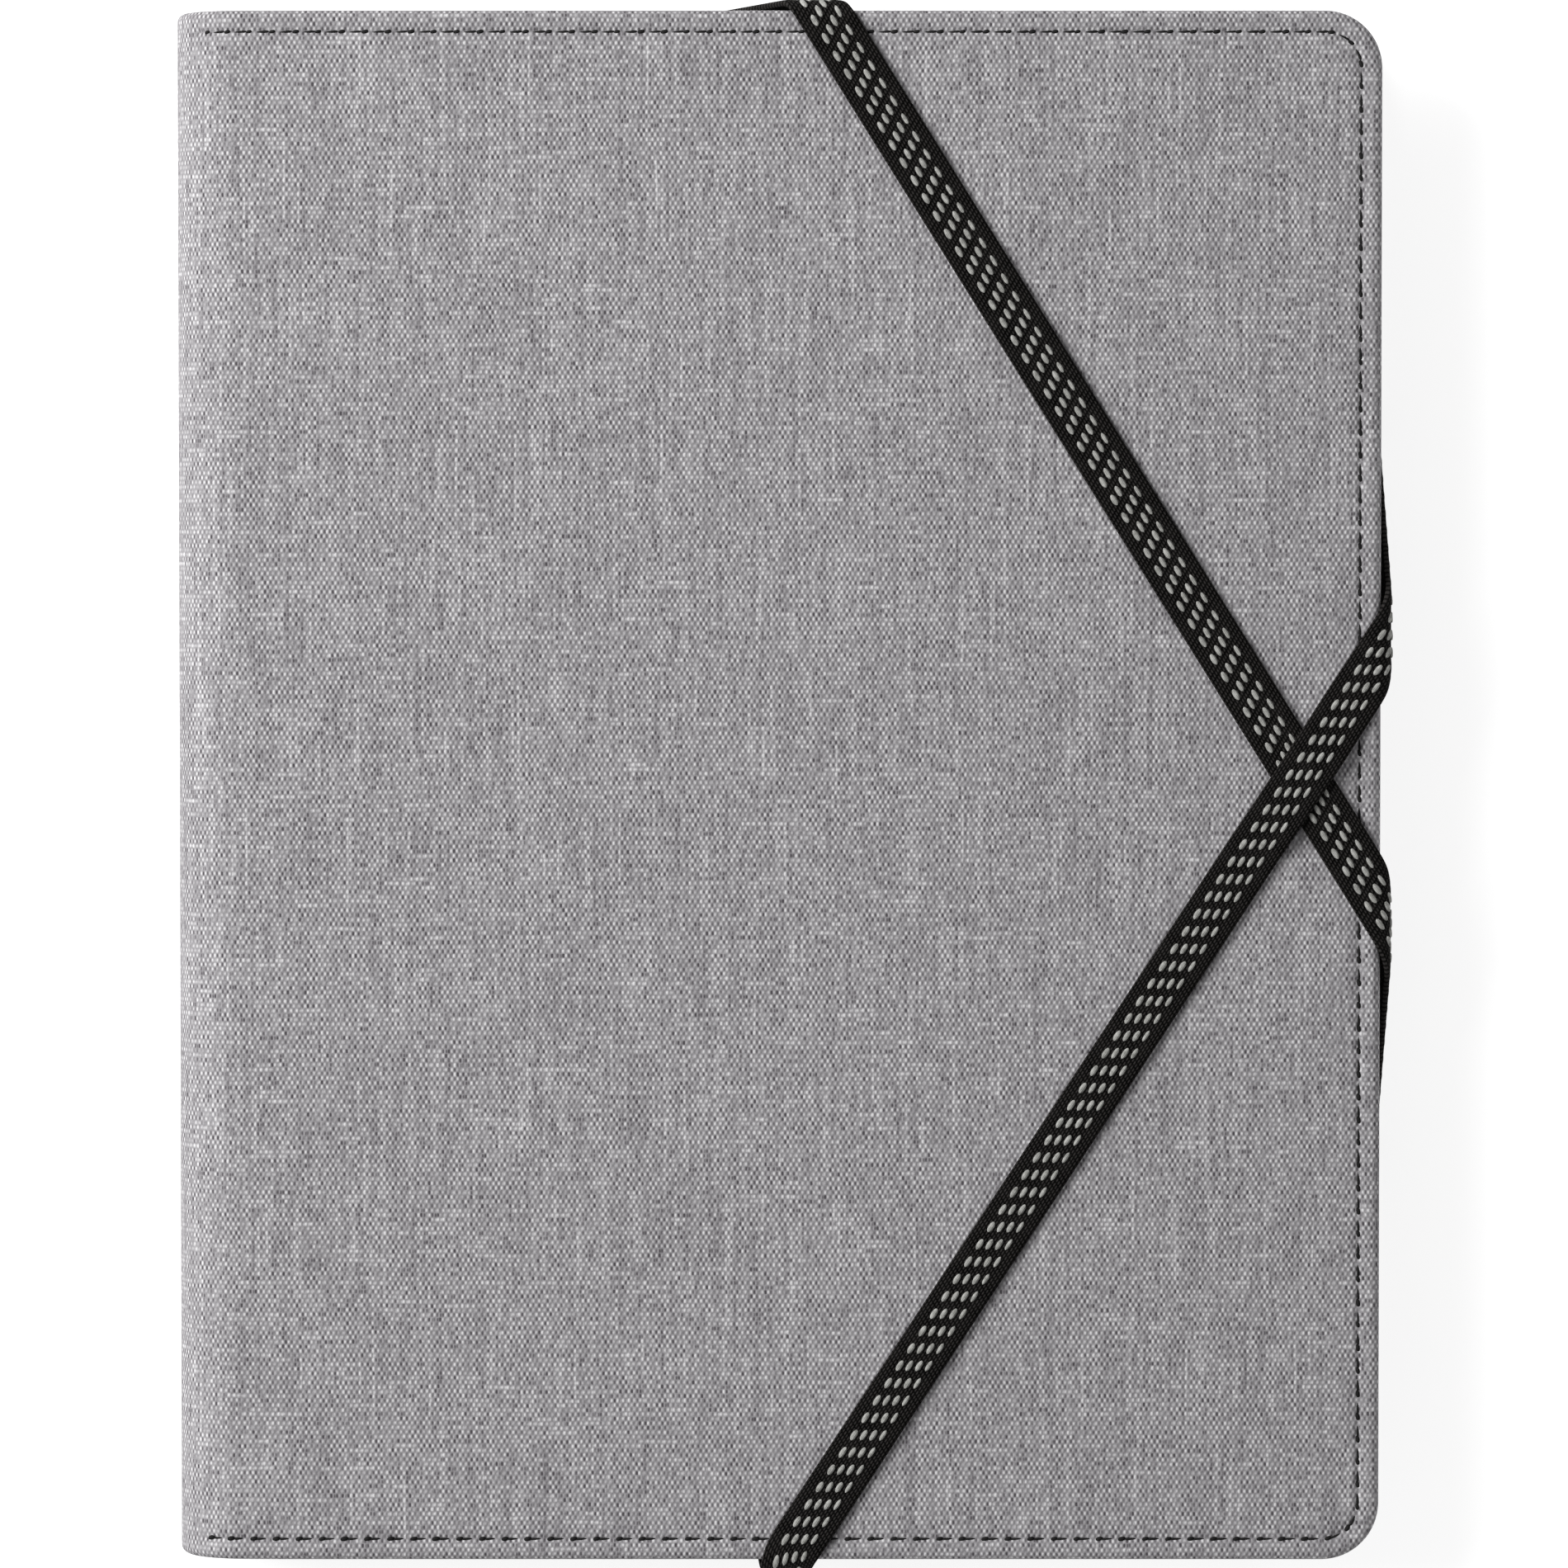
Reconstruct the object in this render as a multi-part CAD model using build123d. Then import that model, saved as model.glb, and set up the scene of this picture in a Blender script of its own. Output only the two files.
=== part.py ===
from build123d import *
import math
import os

# A tablet keyboard case, closed, lying on its back cover.
# Origin: centre of the back cover's underside. +X points to the fore-edge (the spine is
# at -X), +Y runs along the spine, +Z points up to the front cover. Millimetres.

# ---- Case ---------------------------------------------------------------------------
WIDTH = 210.0           # spine to fore-edge
LENGTH = 270.0          # along the spine
THICKNESS = 24.0        # closed, over both covers
COVER_T = 3.4           # one cover, all layers
CORNER_R = 10.0         # fore-edge corners
FABRIC_T = 0.6
FOAM_T = 0.6
BOARD_T = 1.6
HEM_W = 7.0             # turned-in hem on three sides
BEND_R = 8.0            # outside radius where the fabric turns into the spine
CREASE_DEG = 45.0       # the crease is half way round the bend
CREASE_GAP_DEG = 2.0    # half the gap between the rigid halves at the crease
SPINE_BOARD_H = 7.6
SPINE_LINING_H = 10.0

# ---- Elastic bands --------------------------------------------------------------------
BAND_W = 9.2
BAND_T = 1.2
BAND_GAP = 0.1          # clearance to the covers
BAND_END_Z = 1.3        # underside of the end that is sewn into the back cover's hem
BAND_TONGUE = 5.0       # how far the sewn end reaches into the hem
UPPER_TOP_X = 7.7       # upper band: where its centre line crosses the +Y edge
UPPER_FORE_Y = -20.2    # and the fore-edge
UPPER_TOP_END_X = -6.2  # where its sewn ends lie
UPPER_FORE_END_Y = -54.7
LOWER_BOTTOM_X = 1.9    # lower band: where its centre line crosses the -Y edge
LOWER_FORE_Y = 22.2
LOWER_BOTTOM_END_X = 0.0
LOWER_FORE_END_Y = 55.8
HUMP_HALF = 7.6         # the lower band lies level this far each side of the crossing
HUMP_RAMP = 8.0         # and comes down over this length

# ---- Keyboard ---------------------------------------------------------------------------
KB_REAR = -42.0         # edge towards the spine
KB_FRONT = 96.0         # edge towards the user
KB_HALF_Y = 124.0
KB_FRONT_R = 6.0
KB_REAR_R = 3.0
PAD_T = 0.4             # adhesive pads under the keyboard
SHELL_FLOOR = 1.0
SHELL_WALL = 1.2
SHELL_TOP = 8.4
FRAME_T = 1.0
DECK_FRONT = -3.0       # joint between the rear deck and the key frame
DECK_TOP = 10.6
DECK_T = 1.2
SLOT_REAR = -38.5       # groove that the tablet stands in
SLOT_FRONT = -27.0
SLOT_FLOOR = 5.6
LINER_T = 0.6
END_CLEAR = 0.4         # between the groove's channel and the shell walls

UNIT = 17.0             # key pitch
KEY_GAP = 2.0           # between neighbouring caps
KEY_UNITS = 14.0        # width of every row
ROW_REAR = -1.0         # rear edge of the first row
FUNCTION_PITCH = 8.5
KEY_TOP = 10.9
KEY_BOTTOM = 7.9
KEY_LIP = 0.7           # the lip that keeps a cap under the frame
KEY_LIP_T = 0.4
KEY_R = 1.4
HOLE_CLEAR = 0.3
DOME_R = 3.6
DOME_TOP = 6.3

SCREW_R = 0.75
SCREW_HEAD_R = 1.6
SCREW_HEAD_T = 0.6
BOSS_R = 2.2
SCREW_TOP = 9.0
SCREW_PLACES = [(-15.0, -118.0), (-15.0, -75.0), (-15.0, 33.0), (-20.5, 108.0)]

BOARD_REAR = -24.5      # the electronics bay's contents
BOARD_FRONT = -6.5
BOARD_Z = (5.2, 6.0)
BOARD_Y = (40.0, 122.0)
BATTERY_Y = (-62.0, 28.0)
BATTERY_H = 3.5
SOCKET_X = (-18.0, -10.0)
SOCKET_H = 2.3
SOCKET_DEPTH = 6.0
SWITCH_AT = (-12.0, 92.0)
SWITCH_TRAVEL = 2.0
SWITCH_SIZE = (3.0, 4.0)
BUTTON_AT = (-12.0, 80.0)
BUTTON_R = 2.0
LIGHTS_Y = (56.0, 62.0, 68.0)
LIGHT_R = 1.0

# ---- Tablet straps ------------------------------------------------------------------------
STRAP_T = 0.8
STRAP_W = 12.0
STRAP_LEN = 46.0
STRAP_X = (-66.0, 76.0)
STRAP_Y = 106.0

# ---- Derived places -------------------------------------------------------------------------
SPINE_X = -WIDTH / 2
FORE_X = WIDTH / 2
HALF_Y = LENGTH / 2
MID_Z = THICKNESS / 2
BEND_X = SPINE_X + BEND_R
PANEL_REAR = BEND_X + 0.5
HEM_X = FORE_X - HEM_W
HEM_Y = HALF_Y - HEM_W
INNER_R = CORNER_R - HEM_W
FOAM_Z = FABRIC_T + FOAM_T
BOARD_TOP = FOAM_Z + BOARD_T
BAND_X = FORE_X + BAND_GAP
BAND_Y = HALF_Y + BAND_GAP
BAND_Z = THICKNESS + BAND_GAP
BAND_TOP = BAND_Z + BAND_T
SHELL_Z = COVER_T + PAD_T
FLOOR_Z = SHELL_Z + SHELL_FLOOR
FRAME_TOP = SHELL_TOP + FRAME_T
KEYS_HALF_Y = KEY_UNITS * UNIT / 2
KEYS_FRONT = ROW_REAR + FUNCTION_PITCH + 5 * UNIT
PLATE_TOP = FLOOR_Z + 0.4
MEMBRANE_TOP = PLATE_TOP + 0.3
SHEET_TOP = MEMBRANE_TOP + 0.3


# ---- Shape helpers --------------------------------------------------------------------------
def block(x0, x1, y0, y1, z0, z1):
    """A box between two opposite corners."""
    return Pos((x0 + x1) / 2, (y0 + y1) / 2, (z0 + z1) / 2) * Box(x1 - x0, y1 - y0, z1 - z0)


def post(x, y, radius, z0, z1):
    """An upright cylinder."""
    return Pos(x, y, (z0 + z1) / 2) * Cylinder(radius, z1 - z0)


def panel(x0, x1, half_y, z0, z1, front_r, rear_r=0.0):
    """A flat panel centred on Y, with rounded corners at its +X and -X ends."""
    face = Pos((x0 + x1) / 2, 0, z0) * Rectangle(x1 - x0, 2 * half_y)
    face = fillet(face.vertices().group_by(Axis.X)[-1], front_r)
    if rear_r > 0:
        face = fillet(face.vertices().group_by(Axis.X)[0], rear_r)
    return extrude(face, z1 - z0)


def along_spine(outline, half_y=HALF_Y):
    """An XZ outline run along the spine, centred on Y."""
    return extrude(Plane.XZ * make_face(outline), half_y, both=True)


def bend(start_deg, size_deg):
    """Part of the fabric's lower bend into the spine."""
    centre = (BEND_X, BEND_R)
    outer = CenterArc(centre, BEND_R, start_deg, size_deg)
    inner = CenterArc(centre, BEND_R - FABRIC_T, start_deg, size_deg)
    ends = [Line(outer @ 0, inner @ 0), Line(outer @ 1, inner @ 1)]
    return along_spine([outer, inner] + ends)


def to_front(piece):
    """The front cover's twin of a back cover piece."""
    return mirror(piece, about=Plane.XY.offset(MID_Z))


def rounded_caps(cells, inset, z0, z1, radius):
    """Rounded blocks, one in each (x0, x1, y0, y1) cell, drawn in by inset on every side."""
    caps = []
    for x0, x1, y0, y1 in cells:
        face = RectangleRounded(x1 - x0 - 2 * inset, y1 - y0 - 2 * inset, radius)
        caps.append(extrude(Pos((x0 + x1) / 2, (y0 + y1) / 2, z0) * face, z1 - z0))
    return caps


# ---- Covers and spine -----------------------------------------------------------------------
def cover_fabric():
    """The outer fabric of one cover: face, turned-in hem and its half of the crease bend."""
    face = panel(BEND_X, FORE_X, HALF_Y, 0, FABRIC_T, CORNER_R)
    hem = panel(PANEL_REAR, FORE_X, HALF_Y, FABRIC_T, COVER_T, CORNER_R)
    hem -= panel(BEND_X - 1, HEM_X, HEM_Y, FABRIC_T, COVER_T, INNER_R)
    return face + hem + bend(270, CREASE_GAP_DEG - CREASE_DEG)


def cover_layer(z0, z1):
    """A layer inside the hem: foam, board or lining."""
    return panel(PANEL_REAR, HEM_X, HEM_Y, z0, z1, INNER_R)


def spine_fabric():
    """The fabric over the spine, with its half of each crease bend."""
    wall = block(SPINE_X, SPINE_X + FABRIC_T, -HALF_Y, HALF_Y, BEND_R, THICKNESS - BEND_R)
    lower = bend(180, CREASE_DEG - CREASE_GAP_DEG)
    return wall + lower + to_front(lower)


def spine_layer(depth, thickness, height, half_y):
    """An upright strip inside the spine fabric."""
    x0 = SPINE_X + depth
    return block(x0, x0 + thickness, -half_y, half_y, MID_Z - height / 2, MID_Z + height / 2)


# ---- Elastic bands --------------------------------------------------------------------------
def side_run(on_long_edge, side, top, top_half, end, end_half):
    """A band's run down an edge of the case, and its sewn end inside the hem."""
    points = [(top - top_half, BAND_TOP), (top + top_half, BAND_TOP)]
    points += [(end + end_half, BAND_END_Z), (end - end_half, BAND_END_Z)]
    tongue_top = BAND_END_Z + BAND_T
    if on_long_edge:
        outline = make_face(Polyline(*points, close=True))
        run = Pos(0, side * (BAND_Y + BAND_T / 2), 0) * extrude(Plane.XZ * outline, BAND_T / 2, both=True)
        inner, outer = sorted((side * (HALF_Y - BAND_TONGUE), side * (BAND_Y + BAND_T / 2)))
        tongue = block(end - end_half, end + end_half, inner, outer, BAND_END_Z, tongue_top)
    else:
        outline = make_face(Polyline(*points, close=True))
        run = Pos(BAND_X + BAND_T / 2, 0, 0) * extrude(Plane.YZ * outline, BAND_T / 2, both=True)
        inner, outer = FORE_X - BAND_TONGUE, BAND_X + BAND_T / 2
        tongue = block(inner, outer, end - end_half, end + end_half, BAND_END_Z, tongue_top)
    return run, tongue


def front_run(start, finish, side, crossing=None):
    """A band's diagonal run over the front cover; it rises over the other band at crossing."""
    along = (finish - start).normalized()
    reach = (finish - start).length + 30
    path = [(-30, BAND_Z), (reach, BAND_Z)]
    if crossing is not None:
        middle = (crossing - start).length
        rise = BAND_T + BAND_GAP
        path = [(-30, BAND_Z), (middle - HUMP_HALF - HUMP_RAMP, BAND_Z)]
        path += [(middle - HUMP_HALF, BAND_Z + rise), (middle + HUMP_HALF, BAND_Z + rise)]
        path += [(middle + HUMP_HALF + HUMP_RAMP, BAND_Z), (reach, BAND_Z)]
    outline = path + [(u, z + BAND_T) for u, z in reversed(path)]
    plane = Plane(origin=start, x_dir=along, z_dir=along.cross(Vector(0, 0, 1)))
    strip = extrude(plane * make_face(Polyline(*outline, close=True)), BAND_W / 2, both=True)
    y_limits = sorted((-side * HALF_Y, side * (BAND_Y + BAND_T)))
    return strip & block(SPINE_X, BAND_X + BAND_T, y_limits[0], y_limits[1], THICKNESS, THICKNESS + 5)


def band_lean(start, finish):
    """The angle between a band's diagonal run and the long edges' normal, in radians."""
    return math.atan2(abs(finish.X - start.X), abs(finish.Y - start.Y))


def crossing_point(a0, a1, b0, b1):
    """Where the centre lines of the two bands cross."""
    a = a1 - a0
    b = b1 - b0
    gap = b0 - a0
    t = (gap.X * b.Y - gap.Y * b.X) / (a.X * b.Y - a.Y * b.X)
    return a0 + a * t


def elastic_bands():
    """Both bands, and the slots that their sewn ends need in the hem."""
    upper = (Vector(UPPER_TOP_X, HALF_Y, 0), Vector(FORE_X, UPPER_FORE_Y, 0))
    lower = (Vector(LOWER_BOTTOM_X, -HALF_Y, 0), Vector(FORE_X, LOWER_FORE_Y, 0))
    crossing = crossing_point(*upper, *lower)
    half = BAND_W / 2
    bands = []
    tongues = []
    for ends, side, end_x, end_y, over in (
        (upper, 1, UPPER_TOP_END_X, UPPER_FORE_END_Y, None),
        (lower, -1, LOWER_BOTTOM_END_X, LOWER_FORE_END_Y, crossing),
    ):
        lean = band_lean(*ends)
        on_long = half / math.cos(lean)
        on_fore = half / math.sin(lean)
        long_end = half if over else on_long
        long_run, long_tongue = side_run(True, side, ends[0].X, on_long, end_x, long_end)
        fore_run, fore_tongue = side_run(False, side, ends[1].Y, on_fore, end_y, on_fore)
        strip = front_run(*ends, side, over)
        bands.append(strip + long_run + fore_run + long_tongue + fore_tongue)
        tongues += [long_tongue, fore_tongue]
    return bands, tongues


# ---- Keyboard -------------------------------------------------------------------------------
def key_cells():
    """The cells of every key, by node: lists of (x0, x1, y0, y1) at the key pitch."""
    rows = [
        [("function_keys", 14, 1)],
        [("number_keys", 12, 1), ("backspace_key", 1, 2)],
        [("tab_key", 1, 1.25), ("top_letter_keys", 12, 1), ("top_letter_keys", 1, 0.75)],
        [("caps_lock_key", 1, 1.5), ("home_letter_keys", 11, 1), ("enter_key", 1, 1.5)],
        [("left_shift_key", 1, 2), ("bottom_letter_keys", 10, 1), ("right_shift_key", 1, 2)],
        [("modifier_keys", 3, 1), ("modifier_keys", 1, 1.25), ("space_bar", 1, 5),
         ("modifier_keys", 1, 1.25), ("modifier_keys", 1, 1)],
    ]
    cells = {}
    x0 = ROW_REAR
    for row, groups in enumerate(rows):
        x1 = x0 + (FUNCTION_PITCH if row == 0 else UNIT)
        y0 = -KEYS_HALF_Y
        for node, count, units in groups:
            for _ in range(count):
                cells.setdefault(node, []).append((x0, x1, y0, y0 + units * UNIT))
                y0 += units * UNIT
        x0 = x1
    arrow_w = (KEYS_HALF_Y - y0) / 3
    rear = KEYS_FRONT - UNIT
    middle = KEYS_FRONT - UNIT / 2
    cells["arrow_keys"] = [
        (middle, KEYS_FRONT, y0, y0 + arrow_w),
        (middle, KEYS_FRONT, y0 + arrow_w, y0 + 2 * arrow_w),
        (rear, middle, y0 + arrow_w, y0 + 2 * arrow_w),
        (middle, KEYS_FRONT, y0 + 2 * arrow_w, KEYS_HALF_Y),
    ]
    return cells


def key_node(cells):
    """The caps of one key node, each with the lip that holds it under the frame."""
    caps = rounded_caps(cells, KEY_GAP / 2, KEY_BOTTOM, KEY_TOP, KEY_R)
    lips = rounded_caps(cells, (KEY_GAP - KEY_LIP * 2) / 2, KEY_BOTTOM, KEY_BOTTOM + KEY_LIP_T, KEY_R)
    return Compound([cap + lip for cap, lip in zip(caps, lips)])


def key_frame(all_cells):
    """The plate around the keys, with one opening for each cap."""
    plate = panel(DECK_FRONT, KB_FRONT, KB_HALF_Y, SHELL_TOP, FRAME_TOP, KB_FRONT_R)
    inset = KEY_GAP / 2 - HOLE_CLEAR
    holes = rounded_caps(all_cells, inset, SHELL_TOP, FRAME_TOP, KEY_R + HOLE_CLEAR)
    return plate - holes


def bottom_shell():
    """The tray that the keyboard is built in, with the charging socket's notch."""
    tray = panel(KB_REAR, KB_FRONT, KB_HALF_Y, SHELL_Z, SHELL_TOP, KB_FRONT_R, KB_REAR_R)
    wall = SHELL_WALL
    tray -= panel(
        KB_REAR + wall, KB_FRONT - wall, KB_HALF_Y - wall, FLOOR_Z, SHELL_TOP, KB_FRONT_R - wall, KB_REAR_R - wall
    )
    tray -= block(
        SOCKET_X[0], SOCKET_X[1], KB_HALF_Y - wall, KB_HALF_Y, BOARD_Z[1], SHELL_TOP
    )
    for x, y in SCREW_PLACES:
        tray -= post(x, y, SCREW_HEAD_R, SHELL_Z, SHELL_Z + SCREW_HEAD_T)
        tray -= post(x, y, SCREW_R, SHELL_Z, FLOOR_Z)
    for x in (BOARD_REAR + 2, BOARD_FRONT - 2):
        for y in (BOARD_Y[0] + 3, BOARD_Y[1] - 4):
            tray += post(x, y, 1.5, FLOOR_Z, BOARD_Z[0])
    return tray


def rear_deck():
    """The raised rear cover, with the tablet groove, screw bosses and control openings."""
    skirt = SHELL_WALL
    under = DECK_TOP - DECK_T
    deck = panel(KB_REAR, DECK_FRONT, KB_HALF_Y, SHELL_TOP, DECK_TOP, 0.2, KB_REAR_R)
    deck -= block(
        KB_REAR + skirt, DECK_FRONT - skirt, -KB_HALF_Y + skirt, KB_HALF_Y - skirt, SHELL_TOP, under
    )
    half = KB_HALF_Y - SHELL_WALL - END_CLEAR
    channel = block(SLOT_REAR - DECK_T, SLOT_FRONT + DECK_T, -half, half, FLOOR_Z, under)
    deck = deck + channel
    deck -= block(SLOT_REAR, SLOT_FRONT, -half + DECK_T, half - DECK_T, SLOT_FLOOR, DECK_TOP)
    for x, y in SCREW_PLACES:
        deck += post(x, y, BOSS_R, FLOOR_Z, under)
        deck -= post(x, y, SCREW_R, FLOOR_Z, SCREW_TOP)
    x, y = SWITCH_AT
    wide = SWITCH_SIZE[0] / 2 + HOLE_CLEAR
    deck -= block(
        x - wide, x + wide, y - SWITCH_SIZE[1] / 2 - HOLE_CLEAR,
        y + SWITCH_SIZE[1] / 2 + SWITCH_TRAVEL + HOLE_CLEAR, under, DECK_TOP
    )
    deck -= post(BUTTON_AT[0], BUTTON_AT[1], BUTTON_R + HOLE_CLEAR, under, DECK_TOP)
    for y in LIGHTS_Y:
        deck -= post(SWITCH_AT[0], y, LIGHT_R, under, DECK_TOP)
    return deck


def slot_liner():
    """The soft lining of the tablet groove."""
    half = KB_HALF_Y - SHELL_WALL - END_CLEAR - DECK_T
    top = DECK_TOP - 0.4
    liner = block(SLOT_REAR, SLOT_FRONT, -half, half, SLOT_FLOOR, top)
    hollow = block(SLOT_REAR + LINER_T, SLOT_FRONT - LINER_T, -half, half, SLOT_FLOOR + LINER_T, top)
    return liner - hollow


def mounting_pads():
    """Adhesive pads that hold the keyboard to the back cover's lining."""
    strips = []
    for x in (KB_REAR + 12, (KB_REAR + KB_FRONT) / 2, KB_FRONT - 12):
        strips.append(block(x - 8, x + 8, -112, 112, COVER_T, SHELL_Z))
    return Compound(strips)


def membrane():
    """The circuit membrane, with its tail to the controller board."""
    sheet = block(ROW_REAR, KEYS_FRONT + 1, -KEYS_HALF_Y - 2, KEYS_HALF_Y + 2, PLATE_TOP, MEMBRANE_TOP)
    tail = block(BOARD_FRONT, ROW_REAR, 60, 76, PLATE_TOP, MEMBRANE_TOP)
    return sheet + tail


def dome_sheet(all_cells):
    """The rubber sheet with one low dome under each key."""
    sheet = block(ROW_REAR, KEYS_FRONT + 1, -KEYS_HALF_Y - 2, KEYS_HALF_Y + 2, MEMBRANE_TOP, SHEET_TOP)
    for x0, x1, y0, y1 in all_cells:
        radius = min(DOME_R, (x1 - x0) / 2 - KEY_GAP / 2)
        at = Pos((x0 + x1) / 2, (y0 + y1) / 2, (SHEET_TOP + DOME_TOP) / 2)
        sheet += at * Cone(radius, radius * 0.6, DOME_TOP - SHEET_TOP)
    return sheet


def controller_board():
    """The circuit board with its chips, switch body and button contact."""
    z0, z1 = BOARD_Z
    board = block(BOARD_REAR, BOARD_FRONT, BOARD_Y[0], BOARD_Y[1], z0, z1)
    hole_x, hole_y = SCREW_PLACES[-1]
    board -= post(hole_x, hole_y, BOSS_R + HOLE_CLEAR, z0, z1)
    board += block(-22, -15, 66, 73, z1, z1 + 1.0)
    board += block(-22.5, -16, 84, 94, z1, z1 + 1.2)
    x, y = SWITCH_AT
    board += block(x - 2, x + 2, y - 3.5, y + 5.5, z1, 8.5)
    x, y = BUTTON_AT
    board += block(x - 2, x + 2, y - 2, y + 2, z1, 8.1)
    return board


def charging_socket():
    """The charging socket: a metal sleeve around a contact tongue."""
    x0, x1 = SOCKET_X
    z0 = BOARD_Z[1]
    y0 = KB_HALF_Y - SOCKET_DEPTH
    sleeve = block(x0, x1, y0, KB_HALF_Y, z0, z0 + SOCKET_H)
    sleeve -= block(x0 + 0.4, x1 - 0.4, y0 + 1, KB_HALF_Y, z0 + 0.4, z0 + SOCKET_H - 0.4)
    tongue = block(x0 + 1.6, x1 - 1.6, y0 + 1, KB_HALF_Y - 1, z0 + 0.9, z0 + 1.4)
    return sleeve + tongue


def power_switch():
    """The sliding knob of the power switch, at its off end."""
    x, y = SWITCH_AT
    half_x, half_y = SWITCH_SIZE[0] / 2, SWITCH_SIZE[1] / 2
    knob = block(x - half_x, x + half_x, y - half_y, y + half_y, 9.2, 11.1)
    for rib in (-1.2, 0, 1.2):
        knob -= block(x - half_x, x + half_x, y + rib - 0.2, y + rib + 0.2, 10.85, 11.1)
    guard = block(x - half_x - 1, x + half_x + 1, y - half_y - 3, y + half_y + 3, 8.6, 9.2)
    return knob + guard


def pairing_button():
    """The round pairing button, with the flange that keeps it under the deck."""
    x, y = BUTTON_AT
    return post(x, y, BUTTON_R, 9.2, 11.0) + post(x, y, BUTTON_R + 1, 8.6, 9.2)


def screws():
    """The screws that hold the bottom shell to the rear deck."""
    pieces = []
    for x, y in SCREW_PLACES:
        head = post(x, y, SCREW_HEAD_R, SHELL_Z, SHELL_Z + SCREW_HEAD_T)
        head -= block(x - 1, x + 1, y - 0.2, y + 0.2, SHELL_Z, SHELL_Z + 0.3)
        pieces.append(head + post(x, y, SCREW_R, SHELL_Z + SCREW_HEAD_T, SCREW_TOP))
    return Compound(pieces)


def tablet_strap(x, side_x, side_y):
    """An elastic across one corner of the tablet, flat on the front cover's lining."""
    turn = 45 if side_x * side_y < 0 else -45
    centre_z = THICKNESS - COVER_T - STRAP_T / 2
    return Pos(x, side_y * STRAP_Y, centre_z) * Rot(0, 0, turn) * Box(STRAP_LEN, STRAP_W, STRAP_T)


# ---- Assembly -------------------------------------------------------------------------------
def build_nodes():
    bands, tongues = elastic_bands()
    nodes = {"front_cover_fabric": to_front(cover_fabric())}
    nodes["back_cover_fabric"] = cover_fabric() - tongues
    layers = {"foam": (FABRIC_T, FOAM_Z), "board": (FOAM_Z, BOARD_TOP), "lining": (BOARD_TOP, COVER_T)}
    for name, (z0, z1) in layers.items():
        nodes[f"back_cover_{name}"] = cover_layer(z0, z1)
        nodes[f"front_cover_{name}"] = to_front(cover_layer(z0, z1))
    nodes["spine_fabric"] = spine_fabric()
    nodes["spine_board"] = spine_layer(FABRIC_T, BOARD_T, SPINE_BOARD_H, HALF_Y - 1)
    nodes["spine_lining"] = spine_layer(FABRIC_T + BOARD_T, FABRIC_T, SPINE_LINING_H, HALF_Y - 2)
    nodes["elastic_band_upper"] = bands[0]
    nodes["elastic_band_lower"] = bands[1]

    cells = key_cells()
    all_cells = [cell for group in cells.values() for cell in group]
    for name, group in cells.items():
        nodes[name] = key_node(group)
    nodes["key_frame"] = key_frame(all_cells)
    nodes["key_support_plate"] = block(
        ROW_REAR, KEYS_FRONT + 1, -KEYS_HALF_Y - 2, KEYS_HALF_Y + 2, FLOOR_Z, PLATE_TOP
    )
    nodes["membrane_circuit"] = membrane()
    nodes["rubber_dome_sheet"] = dome_sheet(all_cells)
    nodes["keyboard_mounting_pads"] = mounting_pads()
    nodes["keyboard_bottom_shell"] = bottom_shell()
    nodes["rear_deck"] = rear_deck()
    nodes["tablet_slot_liner"] = slot_liner()
    nodes["rear_deck_screws"] = screws()
    nodes["battery"] = block(BOARD_REAR, BOARD_FRONT, *BATTERY_Y, FLOOR_Z, FLOOR_Z + BATTERY_H)
    nodes["controller_board"] = controller_board()
    nodes["charging_socket"] = charging_socket()
    nodes["power_switch_slider"] = power_switch()
    nodes["pairing_button"] = pairing_button()
    lights = [post(SWITCH_AT[0], y, LIGHT_R, BOARD_Z[1], DECK_TOP) for y in LIGHTS_Y]
    nodes["indicator_light_pipes"] = Compound(lights)

    for x, side_x, word_x in ((STRAP_X[0], -1, "spine"), (STRAP_X[1], 1, "fore")):
        for side_y, word_y in ((1, "right"), (-1, "left")):
            nodes[f"tablet_strap_{word_x}_{word_y}"] = tablet_strap(x, side_x, side_y)
    return nodes


os.makedirs("parts", exist_ok=True)
for node_name, shape in build_nodes().items():
    shape.label = node_name
    export_step(shape, f"parts/{node_name}.step")
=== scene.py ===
import math

import bpy
import bmesh
import numpy as np
from mathutils import Matrix, Vector, noise


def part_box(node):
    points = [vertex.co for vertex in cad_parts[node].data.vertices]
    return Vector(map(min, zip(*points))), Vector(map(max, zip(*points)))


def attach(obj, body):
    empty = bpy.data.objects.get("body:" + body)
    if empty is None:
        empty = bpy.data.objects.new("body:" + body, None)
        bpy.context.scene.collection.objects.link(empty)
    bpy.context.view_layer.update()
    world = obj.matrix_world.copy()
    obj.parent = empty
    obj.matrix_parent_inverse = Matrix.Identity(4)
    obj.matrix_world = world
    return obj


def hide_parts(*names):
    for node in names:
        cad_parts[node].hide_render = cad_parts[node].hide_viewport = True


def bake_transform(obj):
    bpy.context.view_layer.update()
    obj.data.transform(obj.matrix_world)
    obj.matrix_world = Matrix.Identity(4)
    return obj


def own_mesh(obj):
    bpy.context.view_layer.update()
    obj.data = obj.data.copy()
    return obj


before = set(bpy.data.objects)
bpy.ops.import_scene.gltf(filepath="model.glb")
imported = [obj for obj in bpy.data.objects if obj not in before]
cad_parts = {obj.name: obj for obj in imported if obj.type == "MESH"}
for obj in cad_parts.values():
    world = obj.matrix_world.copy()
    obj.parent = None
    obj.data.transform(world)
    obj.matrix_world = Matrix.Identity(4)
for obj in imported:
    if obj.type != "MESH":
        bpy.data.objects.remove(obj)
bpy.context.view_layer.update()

MM = 0.001
TAU = 2 * math.pi
UV_PER_METRE = 10.0             # UVs are in decimetres

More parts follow.
